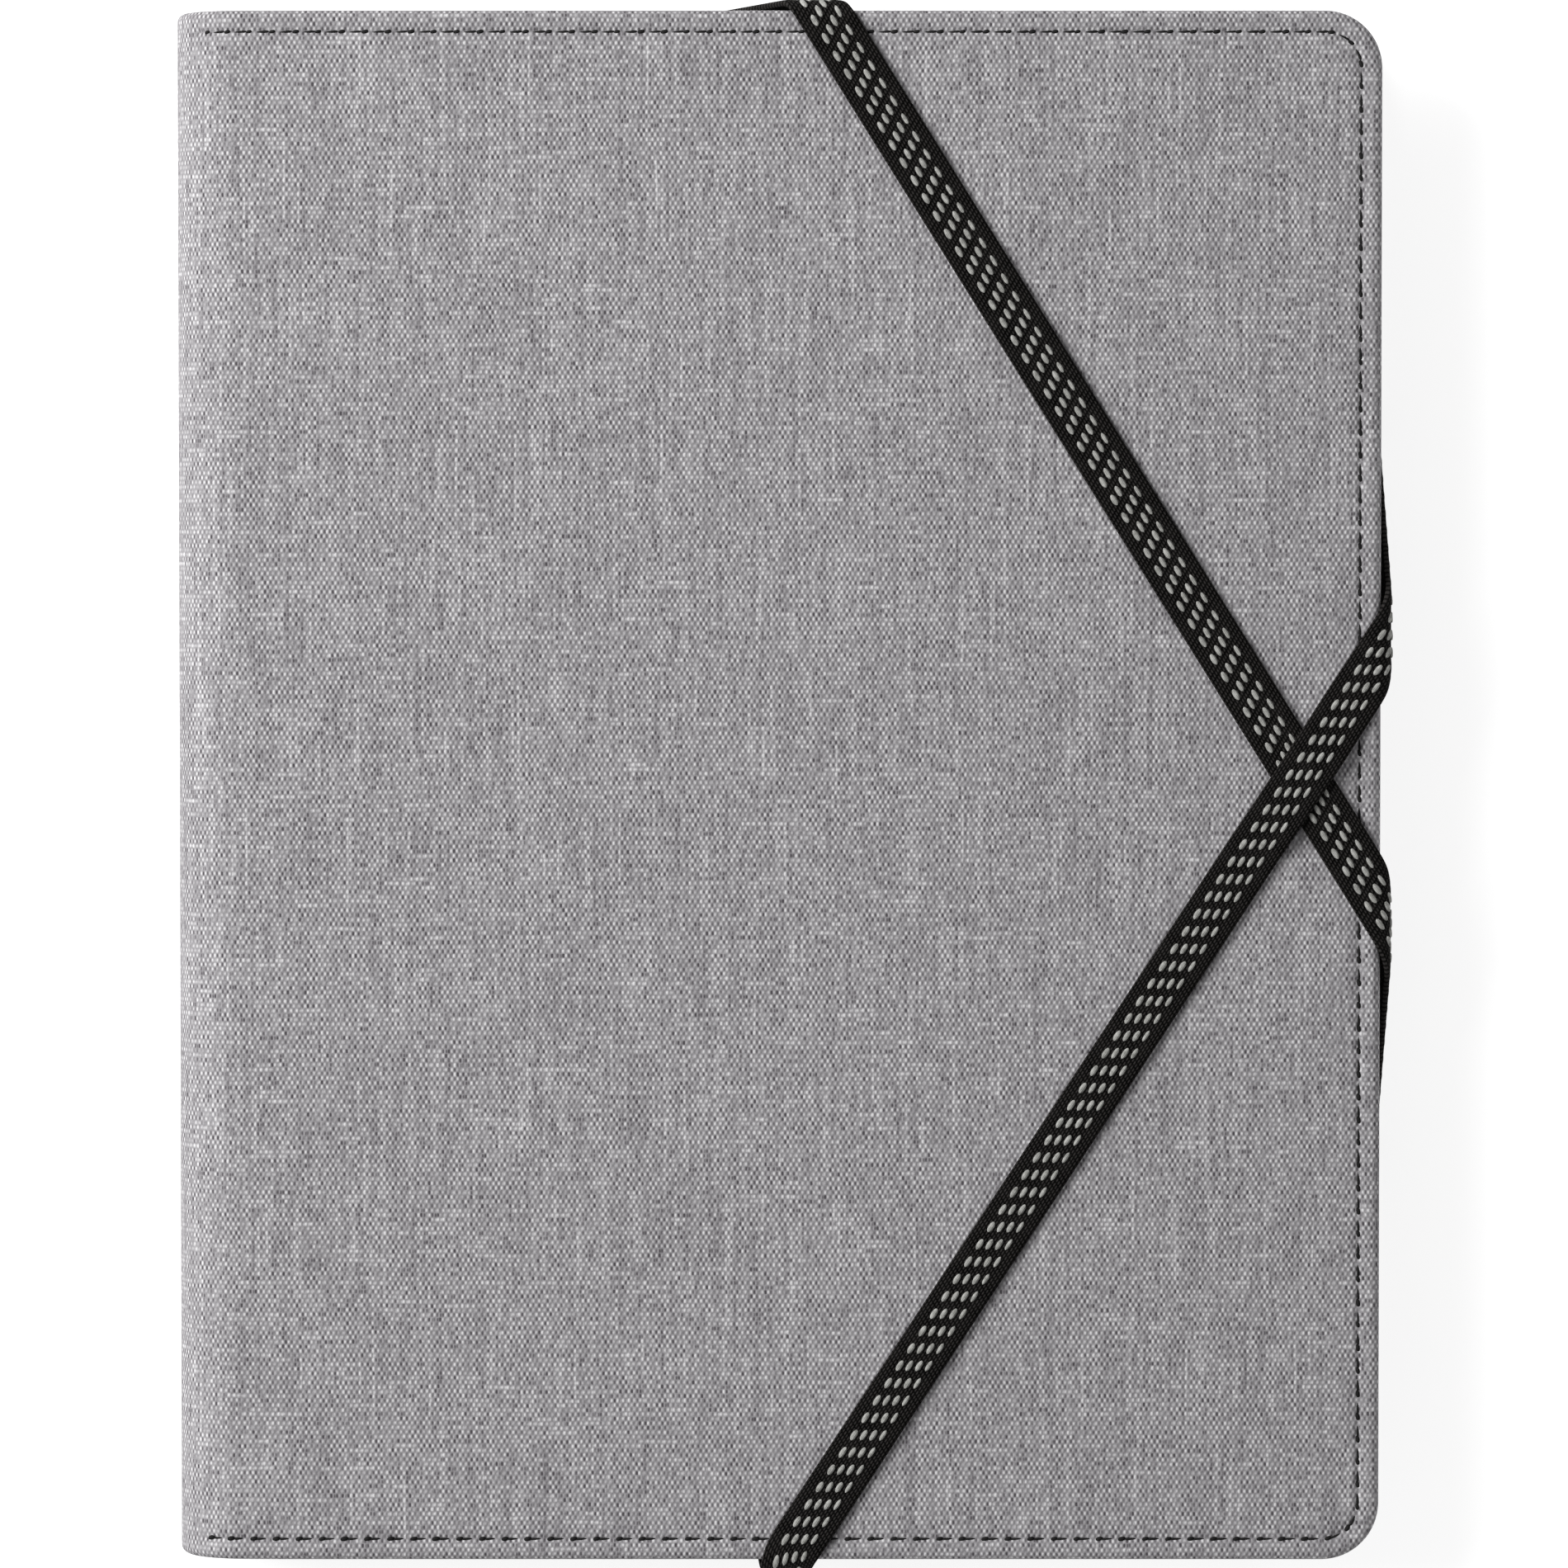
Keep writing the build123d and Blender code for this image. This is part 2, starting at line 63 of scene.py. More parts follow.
# ---- Sizes, all in metres -------------------------------------------------------------
cover_low, cover_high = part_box("front_cover_fabric")
FORE_X = cover_high.x
HALF_Y = cover_high.y
TOP_Z = cover_high.z
COVER_T = TOP_Z - cover_low.z
SPINE_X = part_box("spine_fabric")[0].x
BEND_R = 11 * MM                # outside radius of the fabric's turn into the spine
BEND_X = SPINE_X + BEND_R
CORNER_R = 10 * MM
SPINE_S = BEND_X - BEND_R * math.pi / 2         # developed place where the spine wall starts
MIDDLE_S = SPINE_S - (TOP_Z / 2 - BEND_R)       # and the middle of the spine

SHOULDER_X = BEND_X + 12 * MM   # the cover slopes gently from here to the bend
SHOULDER_DROP = 0.35 * MM

EDGE_R = 1.5 * MM               # rounding of a cover's edge
HEM_W = 7 * MM
CLOTH_T = 0.45 * MM
SEAM_INSET = 3.75 * MM
SEAM_START_X = SPINE_X + 4 * MM
SEAM_PITCH = 4.0 * MM
SEAM_R = CORNER_R - SEAM_INSET
GROOVE_DEPTH = 0.42 * MM
GROOVE_HALF = 0.42 * MM
INNER_GROOVE = 0.7              # depth of the groove inside, of the one outside
FINE_STEP = 2.0 / 3 * MM        # columns round the edge, six to a stitch
FINE_PER_COARSE = 6

WARP_PITCH = 0.489              # the cover weave's yarns, in millimetres
WEFT_PITCH = 0.793

BAND_W = 9.2 * MM
BAND_T = 1.2 * MM
BAND_LIFT = 0.08 * MM
BAND_SIDE_GAP = 0.75 * MM       # how far a band stands off the sides of the case
BAND_STEP = 0.4 * MM
DASH_PITCH = 3.627 * MM
DASH_COLUMN = 1.42 * MM
DASH_HALF_L = 1.06 * MM
DASH_HALF_W = 0.46 * MM
DASH_H = 0.31 * MM
DASH_SPREAD = (1.0, 0.92, 0.96, 0.80)    # how full each column of dashes is

# Where each band's centre line crosses the long edge and the fore-edge, and how far its pattern
# is shifted, in pitches. The lower band turns at the long edge and lies over the upper one.
UPPER_EDGES = (7.7 * MM, HALF_Y), (FORE_X, -20.2 * MM)
UPPER_PHASE = 0.27
LOWER_EDGES = (1.9 * MM, -HALF_Y), (FORE_X, 22.2 * MM)
LOWER_PHASE = -0.16
LOWER_TURN = math.radians(31.0)
LOWER_OVER_AT = 162.6 * MM

FLOOR_HALF = 6.0
FLOOR_GAP = 0.15 * MM
FLOOR_GLOW = 0.80               # keeps the floor white in the object's shadow
ROOM_LIGHT = 0.31
LAMP_PLACE = (-0.9635, 0.415, 0.85)
LAMP_SIZE = 0.76
LAMP_POWER = 20.3
LENS = 158.4
LOOK_AT = (1.1 * MM, 0.7 * MM, TOP_Z)
CAMERA_AWAY = (0.0, 40 * MM, 1.2)


# ---- Node helpers ---------------------------------------------------------------------
class Shader:
    """A material whose nodes are added with short calls."""

    def __init__(self, name):
        self.material = bpy.data.materials.new(name)
        self.material.use_nodes = True
        self.tree = self.material.node_tree
        self.tree.nodes.clear()
        output = self.tree.nodes.new("ShaderNodeOutputMaterial")
        self.surface = self.tree.nodes.new("ShaderNodeBsdfPrincipled")
        self.tree.links.new(self.surface.outputs["BSDF"], output.inputs["Surface"])

    def put(self, socket, value):
        """Links or sets an input."""
        if isinstance(value, bpy.types.NodeSocket):
            self.tree.links.new(value, socket)
        else:
            socket.default_value = value

    def set(self, **values):
        """Sets or links inputs of the surface shader, by name with _ for a space."""
        for name, value in values.items():
            self.put(self.surface.inputs[name.replace("_", " ")], value)

    def math(self, operation, a, b=0.0, c=0.0):
        node = self.tree.nodes.new("ShaderNodeMath")
        node.operation = operation
        for socket, value in zip(node.inputs, (a, b, c)):
            self.put(socket, value)
        return node.outputs[0]

    def times(self, a, b):
        return self.math("MULTIPLY", a, b)

    def plus(self, a, b):
        return self.math("ADD", a, b)

    def times_plus(self, a, b, c):
        """a * b + c."""
        return self.math("MULTIPLY_ADD", a, b, c)

    def above(self, value, level):
        """How far a value is above a level, and 0 below it."""
        return self.math("MAXIMUM", self.math("SUBTRACT", value, level), 0.0)

    def uv(self):
        """The developed coordinates, in millimetres."""
        source = self.tree.nodes.new("ShaderNodeUVMap")
        source.uv_map = "UVMap"
        split = self.tree.nodes.new("ShaderNodeSeparateXYZ")
        self.tree.links.new(source.outputs["UV"], split.inputs[0])
        return [self.times(split.outputs[k], 1 / (UV_PER_METRE * MM)) for k in range(2)]

    def object_mm(self):
        """The place on the object, in millimetres."""
        source = self.tree.nodes.new("ShaderNodeTexCoord")
        scale = self.tree.nodes.new("ShaderNodeVectorMath")
        scale.operation = "SCALE"
        scale.inputs["Scale"].default_value = 1 / MM
        self.tree.links.new(source.outputs["Object"], scale.inputs[0])
        return scale.outputs[0]

    def vector(self, x, y, z=0.0):
        node = self.tree.nodes.new("ShaderNodeCombineXYZ")
        for socket, value in zip(node.inputs, (x, y, z)):
            self.put(socket, value)
        return node.outputs[0]

    def noise(self, vector, scale, detail=2.0, roughness=0.5):
        node = self.tree.nodes.new("ShaderNodeTexNoise")
        self.put(node.inputs["Vector"], vector)
        node.inputs["Scale"].default_value = scale
        node.inputs["Detail"].default_value = detail
        node.inputs["Roughness"].default_value = roughness
        return node.outputs["Fac"]

    def random(self, x, y, z):
        """A separate value from 0 to 1 for each whole-numbered place."""
        node = self.tree.nodes.new("ShaderNodeTexWhiteNoise")
        node.noise_dimensions = "3D"
        self.put(node.inputs["Vector"], self.vector(x, y, z))
        return node.outputs["Value"]

    def ramp(self, factor, stops):
        node = self.tree.nodes.new("ShaderNodeValToRGB")
        self.put(node.inputs[0], factor)
        elements = node.color_ramp.elements
        while len(elements) < len(stops):
            elements.new(0.5)
        for element, (position, colour) in zip(elements, stops):
            element.position = position
            element.color = (*colour, 1.0)
        return node.outputs[0]

    def bump(self, height, distance, strength=1.0):
        node = self.tree.nodes.new("ShaderNodeBump")
        node.inputs["Strength"].default_value = strength
        node.inputs["Distance"].default_value = distance
        self.put(node.inputs["Height"], height)
        self.put(self.surface.inputs["Normal"], node.outputs[0])


def remap(shader, value, low, high, to_low, to_high):
    """A linear change of range, unclamped."""
    slope = (to_high - to_low) / (high - low)
    return shader.times_plus(value, slope, to_low - low * slope)


# ---- Materials ------------------------------------------------------------------------
def heather_weave():
    """Grey heather plain weave: light warp floats over a darker, purplish ground."""
    m = Shader("heather_weave")
    u, v = m.uv()
    wander = m.noise(m.vector(u, v), 0.07, 2.0)
    wander_v = m.noise(m.vector(u, v, 40.0), 0.07, 2.0)
    a = m.math("DIVIDE", m.times_plus(wander, 0.7, u), WARP_PITCH)
    b = m.math("DIVIDE", m.times_plus(wander_v, 0.7, v), WEFT_PITCH)
    warp = m.math("FLOOR", a)
    weft = m.math("FLOOR", b)
    across = m.math("SINE", m.times(a, math.pi))
    along = m.math("SINE", m.times(b, math.pi))
    checker = m.times(across, along)
    row = m.times(along, along)
    over = m.math("MAXIMUM", checker, 0.0)
    under = m.math("MAXIMUM", m.times(checker, -1.0), 0.0)
    warp_tone = m.noise(m.vector(m.times(warp, 7.31), m.times(b, 0.035)), 1.0, 1.0)
    weft_tone = m.noise(m.vector(m.times(weft, 9.17), m.times(a, 0.07), 8.0), 1.0, 1.0)
    float_tone = m.random(warp, weft, 0.0)
    ground_tone = m.random(warp, weft, 3.0)
    speck_tone = m.random(warp, weft, 6.0)
    streak = m.noise(m.vector(m.times(u, 0.90), m.times(v, 0.045)), 1.0, 2.0, 0.6)
    fleck = m.noise(m.vector(m.times(u, 1.3), m.times(v, 0.8), 5.0), 1.0, 2.0, 0.6)
    fibre = m.noise(m.vector(m.times(u, 6.0), m.times(v, 3.0)), 1.0, 2.0)
    thick_pick = m.times(m.above(weft_tone, 0.60), row)
    slub = m.times(m.above(warp_tone, 0.62), m.times(across, across))
    speck = m.times(m.above(speck_tone, 0.78), m.math("ABSOLUTE", checker))
    tone = m.times_plus(checker, 0.270, m.times_plus(row, 0.100, 0.498))
    for part, weight, spread in (
        (warp_tone, m.plus(over, 0.25), 0.60),
        (weft_tone, m.plus(under, 0.25), 0.50),
        (float_tone, over, 0.52),
        (ground_tone, under, 0.52),
    ):
        tone = m.times_plus(weight, remap(m, part, 0.0, 1.0, -spread / 2, spread / 2), tone)
    for part, spread in ((streak, 0.34), (fleck, 0.18), (fibre, 0.34)):
        tone = m.plus(tone, remap(m, part, 0.0, 1.0, -spread / 2, spread / 2))
    tone = m.times_plus(thick_pick, 0.9, m.times_plus(slub, 1.3, tone))
    tone = m.times_plus(speck, -2.4, tone)
    colour = m.ramp(tone, [
        (0.0, (0.085, 0.078, 0.086)),
        (0.28, (0.175, 0.165, 0.176)),
        (0.55, (0.345, 0.335, 0.347)),
        (1.0, (0.72, 0.71, 0.72)),
    ])
    height = m.times_plus(fibre, 0.3, m.times_plus(thick_pick, 2.0, checker))
    m.bump(height, 0.10 * MM, 0.7)
    m.set(Base_Color=colour, Roughness=0.95, Sheen_Weight=0.02, Sheen_Roughness=0.5,
          Specular_IOR_Level=0.05)
    return m.material


def lining_cloth():
    """Charcoal brushed lining with a fine twill."""
    m = Shader("lining_cloth")
    u, v = m.uv()
    twill = m.math("SINE", m.times(m.plus(u, v), TAU / 0.9))
    nap = m.noise(m.vector(u, v), 3.0, 4.0, 0.65)
    cloud = m.noise(m.vector(u, v), 0.05, 3.0)
    tone = m.times_plus(twill, 0.12, m.plus(nap, m.times(cloud, 0.5)))
    colour = m.ramp(tone, [(0.35, (0.030, 0.030, 0.033)), (1.0, (0.085, 0.085, 0.092))])
    m.bump(m.times_plus(twill, 0.35, nap), 0.12 * MM)
    m.set(Base_Color=colour, Roughness=0.95, Sheen_Weight=0.35, Sheen_Roughness=0.4,
          Specular_IOR_Level=0.15)
    return m.material


def knuckles(m, u, v, column, pick, stagger=0.5):
    """A woven surface of small raised knuckles in staggered columns, 0 to 1."""
    lane = m.math("DIVIDE", u, column)
    number = m.math("FLOOR", lane)
    ridge = m.math("SINE", m.times(m.math("FRACT", lane), math.pi))
    step = m.times_plus(number, stagger, m.math("DIVIDE", v, pick))
    return m.times(ridge, m.math("ABSOLUTE", m.math("SINE", m.times(step, math.pi))))


def elastic_web():
    """Black woven elastic: small staggered knuckles of yarn along the band, their raised tops painted
    lighter as highlights.
    """
    m = Shader("elastic_web")
    u, v = m.uv()
    knuckle = knuckles(m, u, v, 0.473, 0.907, 0.28)
    fuzz = m.noise(m.vector(u, v), 5.0, 3.0, 0.6)
    wear = m.noise(m.vector(u, v), 0.3, 2.0)
    # Painted highlight: the knuckles' raised tops are coloured lighter than the black yarn.
    tone = m.plus(m.times(knuckle, 0.6), m.times_plus(wear, 0.3, m.times(fuzz, 0.4)))
    colour = m.ramp(tone, [(0.34, (0.0005, 0.0005, 0.0005)), (0.95, (0.0400, 0.0370, 0.0355))])
    m.bump(m.times_plus(fuzz, 0.3, knuckle), 0.28 * MM)
    m.set(Base_Color=colour, Roughness=0.9, Specular_IOR_Level=0.03)
    return m.material


def dash_yarn():
    """Light grey yarn floats, fine strands running along the band."""
    m = Shader("dash_yarn")
    u, v = m.uv()
    strand = m.math("SINE", m.times(u, TAU / 0.26))
    blotch = m.noise(m.vector(u, v), 1.1, 3.0, 0.6)
    tone = m.times_plus(strand, 0.06, blotch)
    colour = m.ramp(tone, [(0.28, (0.19, 0.19, 0.175)), (0.72, (0.50, 0.50, 0.475))])
    m.bump(m.times_plus(strand, 0.4, blotch), 0.04 * MM)
    m.set(Base_Color=colour, Roughness=0.8, Sheen_Weight=0.1, Specular_IOR_Level=0.25)
    return m.material


def ribbed_elastic():
    """Black corner elastic with fine ribs along it and tiny cross picks, the raised knuckles painted
    lighter as highlights.
    """
    m = Shader("ribbed_elastic")
    u, v = m.uv()
    knuckle = knuckles(m, u, v, 0.75, 0.6)
    fuzz = m.noise(m.vector(u, v), 5.0, 3.0, 0.6)
    # Painted highlight: the knuckles' raised tops are coloured lighter than the black yarn.
    tone = m.plus(m.times(knuckle, 0.7), m.times(fuzz, 0.5))
    m.bump(m.times_plus(fuzz, 0.3, knuckle), 0.15 * MM)
    m.set(
        Base_Color=m.ramp(tone, [(0.25, (0.008, 0.008, 0.008)), (1.0, (0.045, 0.045, 0.046))]),
        Roughness=0.8,
        Sheen_Weight=0.1,
        Specular_IOR_Level=0.25,
    )
    return m.material


def grained(name, dark, light, roughness, metallic=0.0, grain=2.0, relief=0.02, specular=0.5, coat=0.0):
    """A moulded or cast finish: two close tones, a fine grain and uneven roughness."""
    m = Shader(name)
    place = m.object_mm()
    fine = m.noise(place, grain, 3.0, 0.6)
    broad = m.noise(place, grain * 0.03, 2.0)
    tone = m.times_plus(broad, 0.6, m.times(fine, 0.4))
    colour = m.ramp(tone, [(0.3, dark), (0.7, light)])
    m.bump(fine, relief * MM)
    m.set(
        Base_Color=colour,
        Roughness=remap(m, fine, 0.0, 1.0, roughness - 0.08, roughness + 0.08),
        Metallic=metallic,
        Specular_IOR_Level=specular,
        Coat_Weight=coat,
    )
    return m.material


def brushed(name, dark, light, roughness):
    """Brushed or stamped metal, with the brushing along Y."""
    m = Shader(name)
    place = m.object_mm()
    stretch = m.tree.nodes.new("ShaderNodeVectorMath")
    stretch.operation = "MULTIPLY"
    m.put(stretch.inputs[0], place)
    stretch.inputs[1].default_value = (4.0, 0.12, 4.0)
    lines = m.noise(stretch.outputs[0], 1.0, 3.0, 0.6)
    m.bump(lines, 0.01 * MM)
    m.set(
        Base_Color=m.ramp(lines, [(0.3, dark), (0.7, light)]),
        Roughness=remap(m, lines, 0.0, 1.0, roughness - 0.1, roughness + 0.1),
        Metallic=1.0,
    )
    return m.material


# ---- Mesh helpers ---------------------------------------------------------------------
def make_object(name, points, faces, uvs, material, smooth=True):
    """A mesh object; uvs are one pair per point, in units of a decimetre."""
    mesh = bpy.data.meshes.new(name)
    mesh.from_pydata([tuple(p) for p in points], [], faces)
    layer = mesh.uv_layers.new(name="UVMap")
    corners = np.zeros(len(mesh.loops), np.int32)
    mesh.loops.foreach_get("vertex_index", corners)
    layer.data.foreach_set("uv", np.asarray(uvs, np.float32)[corners].ravel())
    mesh.polygons.foreach_set("use_smooth", [smooth] * len(mesh.polygons))
    mesh.materials.append(material)
    mesh.update()
    made = bpy.data.objects.new(name, mesh)
    bpy.context.scene.collection.objects.link(made)
    return made


def grid_faces(rows, columns, closed=False):
    """Quads of a rows x columns grid of points; closed joins the last column to the first."""
    faces = []
    for r in range(rows - 1):
        for c in range(columns if closed else columns - 1):
            d = (c + 1) % columns
            faces.append((r * columns + c, r * columns + d, (r + 1) * columns + d, (r + 1) * columns + c))
    return faces


def plan_uvs(points):
    """UVs straight down on the XY plane."""
    return [(x * UV_PER_METRE, y * UV_PER_METRE) for x, y, _ in points]


def smooth_step(x):
    """0 below 0, 1 above 1, and a smooth rise between."""
    x = np.clip(x, 0.0, 1.0)
    return x * x * (3 - 2 * x)


def thicken(piece, thickness):
    """Gives a cloth sheet its thickness, inwards."""
    solid = piece.modifiers.new("thickness", "SOLIDIFY")
    solid.thickness = thickness
    solid.offset = -1.0
    return piece


# ---- The developed case ---------------------------------------------------------------
def place_on_case(s, y, height, back=False):
    """Points at developed place (s, y) and a height over the outer face.

    s is X on the flat cover and goes on round the bend and down the spine.
    """
    s, y, height = (np.asarray(a, float) for a in (s, y, height))
    rise = np.clip((SHOULDER_X - s) / (SHOULDER_X - BEND_X), 0.0, 1.0) ** 2
    t = np.clip((BEND_X - s) / (BEND_X - SPINE_S), 0.0, 1.0)
    slope = 2 * (BEND_X - SPINE_S) / (SHOULDER_X - BEND_X)
    settle = 1 - smooth_step(t) + slope * t * (1 - t) ** 2
    height = height - SHOULDER_DROP * np.where(s > BEND_X, rise, settle)
    turn = np.clip((BEND_X - s) / BEND_R, 0.0, math.pi / 2)
    down = np.clip(SPINE_S - s, 0.0, None)
    x = np.maximum(s, BEND_X) - (BEND_R + height) * np.sin(turn)
    z = TOP_Z - BEND_R - down + (BEND_R + height) * np.cos(turn)
    if back:
        z = TOP_Z - z
    return np.stack([x, y + 0 * x, z], axis=-1)


class Seam:
    """The line of stitches, followed by distance from its start at the spine on the +Y side."""

    start_s = BEND_X - BEND_R * math.asin((BEND_X - SEAM_START_X) / BEND_R)
    long_run = (FORE_X - CORNER_R) - start_s
    short_run = 2 * (HALF_Y - CORNER_R)
    arc = SEAM_R * math.pi / 2
    length = 2 * long_run + 2 * arc + short_run

    @classmethod
    def at(cls, distance):
        """(s, y, direction along, outward direction) at a distance along the seam."""
        arc_x, arc_y = FORE_X - CORNER_R, HALF_Y - CORNER_R
        if distance < cls.long_run:
            return cls.start_s + distance, arc_y + SEAM_R, (1.0, 0.0), (0.0, 1.0)
        distance -= cls.long_run
        for side, run in ((1, cls.arc), (0, cls.short_run), (-1, cls.arc)):
            if distance < run:
                break
            distance -= run
        else:
            return arc_x - distance, -arc_y - SEAM_R, (-1.0, 0.0), (0.0, -1.0)
        if side == 0:
            return arc_x + SEAM_R, arc_y - distance, (0.0, -1.0), (1.0, 0.0)
        turn = distance / SEAM_R + (0 if side > 0 else math.pi / 2)
        out = (math.sin(turn), math.cos(turn))
        return arc_x + SEAM_R * out[0], side * arc_y + SEAM_R * out[1], (out[1], -out[0]), out


def edge_columns():
    """The cover's outline as columns: place, outward direction and distance along the seam."""
    flat = round((FORE_X - CORNER_R - BEND_X) / FINE_STEP / FINE_PER_COARSE) * FINE_PER_COARSE
    bent = round((BEND_X - MIDDLE_S) / FINE_STEP)
    s_bend = np.linspace(MIDDLE_S, BEND_X, bent + 1)
    s_flat = np.linspace(BEND_X, FORE_X - CORNER_R, flat + 1)
    side = round(Seam.short_run / FINE_STEP / FINE_PER_COARSE) * FINE_PER_COARSE
    y_side = np.linspace(HALF_Y - CORNER_R, -(HALF_Y - CORNER_R), side + 1)
    turns = np.linspace(0, math.pi / 2, 17)
    long_s = np.concatenate([s_bend, s_flat[1:]])
    columns = []
    for s in long_s:
        columns.append((s, HALF_Y, 0.0, 1.0, s - Seam.start_s))
    base = Seam.long_run
    for turn in turns[1:-1]:
        n = (math.sin(turn), math.cos(turn))
        x, y = FORE_X - CORNER_R + CORNER_R * n[0], HALF_Y - CORNER_R + CORNER_R * n[1]
        columns.append((x, y, *n, base + turn * SEAM_R))
    base += Seam.arc
    for y in y_side:
        columns.append((FORE_X, y, 1.0, 0.0, base + y_side[0] - y))
    base += Seam.short_run
    for turn in turns[1:-1]:
        n = (math.cos(turn), -math.sin(turn))
        x, y = FORE_X - CORNER_R + CORNER_R * n[0], -HALF_Y + CORNER_R + CORNER_R * n[1]
        columns.append((x, y, *n, base + turn * SEAM_R))
    base += Seam.arc
    for s in long_s[::-1]:
        columns.append((s, -HALF_Y, 0.0, -1.0, base + FORE_X - CORNER_R - s))
    s_lines = np.concatenate([s_bend, s_flat[FINE_PER_COARSE::FINE_PER_COARSE]])
    y_lines = y_side[::FINE_PER_COARSE]
    return columns, s_lines, y_lines, long_s, y_side


OUTER_INSETS = [10, 8.6, 7.4, 6.4, 5.6, 5.0, 4.6, 4.3, 4.05, 3.75, 3.45, 3.2, 2.9, 2.4, 1.95]
OUTER_RINGS = len(OUTER_INSETS)
HEM_RINGS = OUTER_RINGS + 13    # the first ring of the hem that the inner groove can reach


def edge_profile():
    """(inset, height) from the outer face's inner ring, round the edge, to the end of the hem."""
    rings = [(i * MM, 0.0) for i in OUTER_INSETS]
    for angle in np.linspace(0, math.pi / 2, 6):
        rings.append((EDGE_R * (1 - math.sin(angle)), -EDGE_R * (1 - math.cos(angle))))
    for angle in np.linspace(math.pi / 2, math.pi, 6):
        rings.append((EDGE_R * (1 - math.sin(angle)), -COVER_T + EDGE_R * (1 + math.cos(angle))))
    rings += [(i * MM, -COVER_T) for i in (2.1, 2.7, 3.2, 3.45, 3.75, 4.05, 4.4, 5.2, 6.2)]
    rings.append((HEM_W - 0.2 * MM, -COVER_T))
    return rings + [(HEM_W, -COVER_T + rise * MM) for rise in (0.2, 0.5)]


def relief(inset, seam_at):
    """How far the seam's groove sinks the cloth, deepest at the needle holes."""
    on_seam = smooth_step((seam_at + 1.0 * MM) / (1.5 * MM))
    on_seam *= smooth_step((Seam.length + 1.0 * MM - seam_at) / (1.5 * MM))
    phase = np.cos(TAU * seam_at / SEAM_PITCH)
    dip = math.exp(-(((inset - SEAM_INSET) / GROOVE_HALF) ** 2))
    shoulder = math.exp(-(((inset - SEAM_INSET) / (3.2 * GROOVE_HALF)) ** 2))
    groove = -GROOVE_DEPTH * (dip * (0.62 + 0.38 * phase) + 0.30 * shoulder)
    return float(groove * on_seam)


def padding(s, y):
    """The slow swell of the foam under the middle of a face."""
    if s < BEND_X:
        return 0.0
    edge = min(FORE_X - s, HALF_Y - abs(y)) - 10.5 * MM
    fade = float(smooth_step(edge / (14 * MM)) * smooth_step((s - BEND_X) / (16 * MM)))
    swell = noise.noise(Vector((s * 22, y * 22, 3.0))) + 0.5 * noise.noise(Vector((s * 60, y * 60, 9.0)))
    return 0.16 * MM * swell * fade


class Cloth:
    """Collects the points and faces of a cloth piece by their developed place."""

    def __init__(self):
        self.index, self.flat, self.uv, self.faces = {}, [], [], []

    def point(self, s, y, height, uv):
        key = (round(s * 1e7), round(y * 1e7), round(height * 1e7))
        if key not in self.index:
            self.index[key] = len(self.flat)
            self.flat.append((s, y, height))
            self.uv.append(uv)
        return self.index[key]

    def face(self, corners):
        kept = [c for k, c in enumerate(corners) if c != corners[k - 1]]
        if len(kept) > 2:
            self.faces.append(kept)

    def build(self, name, material, back):
        s, y, height = np.array(self.flat).T
        uv = np.array(self.uv)
        faces = self.faces
        if back:
            uv[:, 0] = 2 * MIDDLE_S - uv[:, 0]
            faces = [face[::-1] for face in faces]
        return make_object(name, place_on_case(s, y, height, back), faces, uv * UV_PER_METRE, material)


def cover_cloth(name, material, back):
    """The outer fabric of one cover and its half of the spine, with the hem turned in."""
    cloth = Cloth()
    columns, s_lines, y_lines, s_fine, y_fine = edge_columns()
    rings = edge_profile()
    reach = np.concatenate([[0], np.cumsum([math.dist(a, b) for a, b in zip(rings, rings[1:])])])
    grid = []
    for s, y, ns, ny, seam_at in columns:
        column = []
        for k, (inset, height) in enumerate(rings):
            ps, py = s - ns * inset, y - ny * inset
            if 0 < k < OUTER_RINGS:
                height += relief(inset, seam_at)
            elif k >= HEM_RINGS and inset < HEM_W:
                height -= INNER_GROOVE * relief(inset, seam_at)
            base_s, base_y = s - ns * rings[0][0], y - ny * rings[0][0]
            column.append(cloth.point(ps, py, height, (base_s + ns * reach[k], base_y + ny * reach[k])))
        grid.append(column)
    for left, right in zip(grid, grid[1:]):
        for k in range(len(rings) - 1):
            cloth.face([left[k], right[k], right[k + 1], left[k + 1]])

    def inside(s, y):
        return cloth.point(s, y, padding(s, y), (s, y))

    def between(low, high, values):
        return [v for v in values if low + 1e-7 < v < high - 1e-7]

    for i in range(len(s_lines) - 1):
        for j in range(len(y_lines) - 1):
            s0, s1, y1, y0 = s_lines[i], s_lines[i + 1], y_lines[j], y_lines[j + 1]
            loop = [(s0, y1)]
            if j == 0:
                loop += [(s, y1) for s in between(s0, s1, s_fine)]
            loop.append((s1, y1))
            if i == len(s_lines) - 2:
                loop += [(s1, y) for y in sorted(between(y0, y1, y_fine), reverse=True)]
            loop.append((s1, y0))
            if j == len(y_lines) - 2:
                loop += [(s, y0) for s in sorted(between(s0, s1, s_fine), reverse=True)]
            loop.append((s0, y0))
            cloth.face([inside(s, y) for s, y in loop][::-1])
    return thicken(cloth.build(name, material, back), CLOTH_T)


def lining_sheet(name, material, back):
    """The lining of one cover and its half of the spine."""
    cloth = Cloth()
    bend = np.linspace(MIDDLE_S, BEND_X + 4 * MM, 30)
    flat = np.linspace(BEND_X + 4 * MM, FORE_X - HEM_W + 0.6 * MM, 48)
    lines_s = np.concatenate([bend, flat[1:]])
    lines_y = np.linspace(-(HALF_Y - HEM_W + 0.6 * MM), HALF_Y - HEM_W + 0.6 * MM, 66)
    grid = [[cloth.point(s, y, -COVER_T + 0.22 * MM, (s, y)) for y in lines_y] for s in lines_s]
    for i in range(len(lines_s) - 1):
        for j in range(len(lines_y) - 1):
            cloth.face([grid[i][j], grid[i][j + 1], grid[i + 1][j + 1], grid[i + 1][j]])
    return thicken(cloth.build(name, material, back), 0.3 * MM)


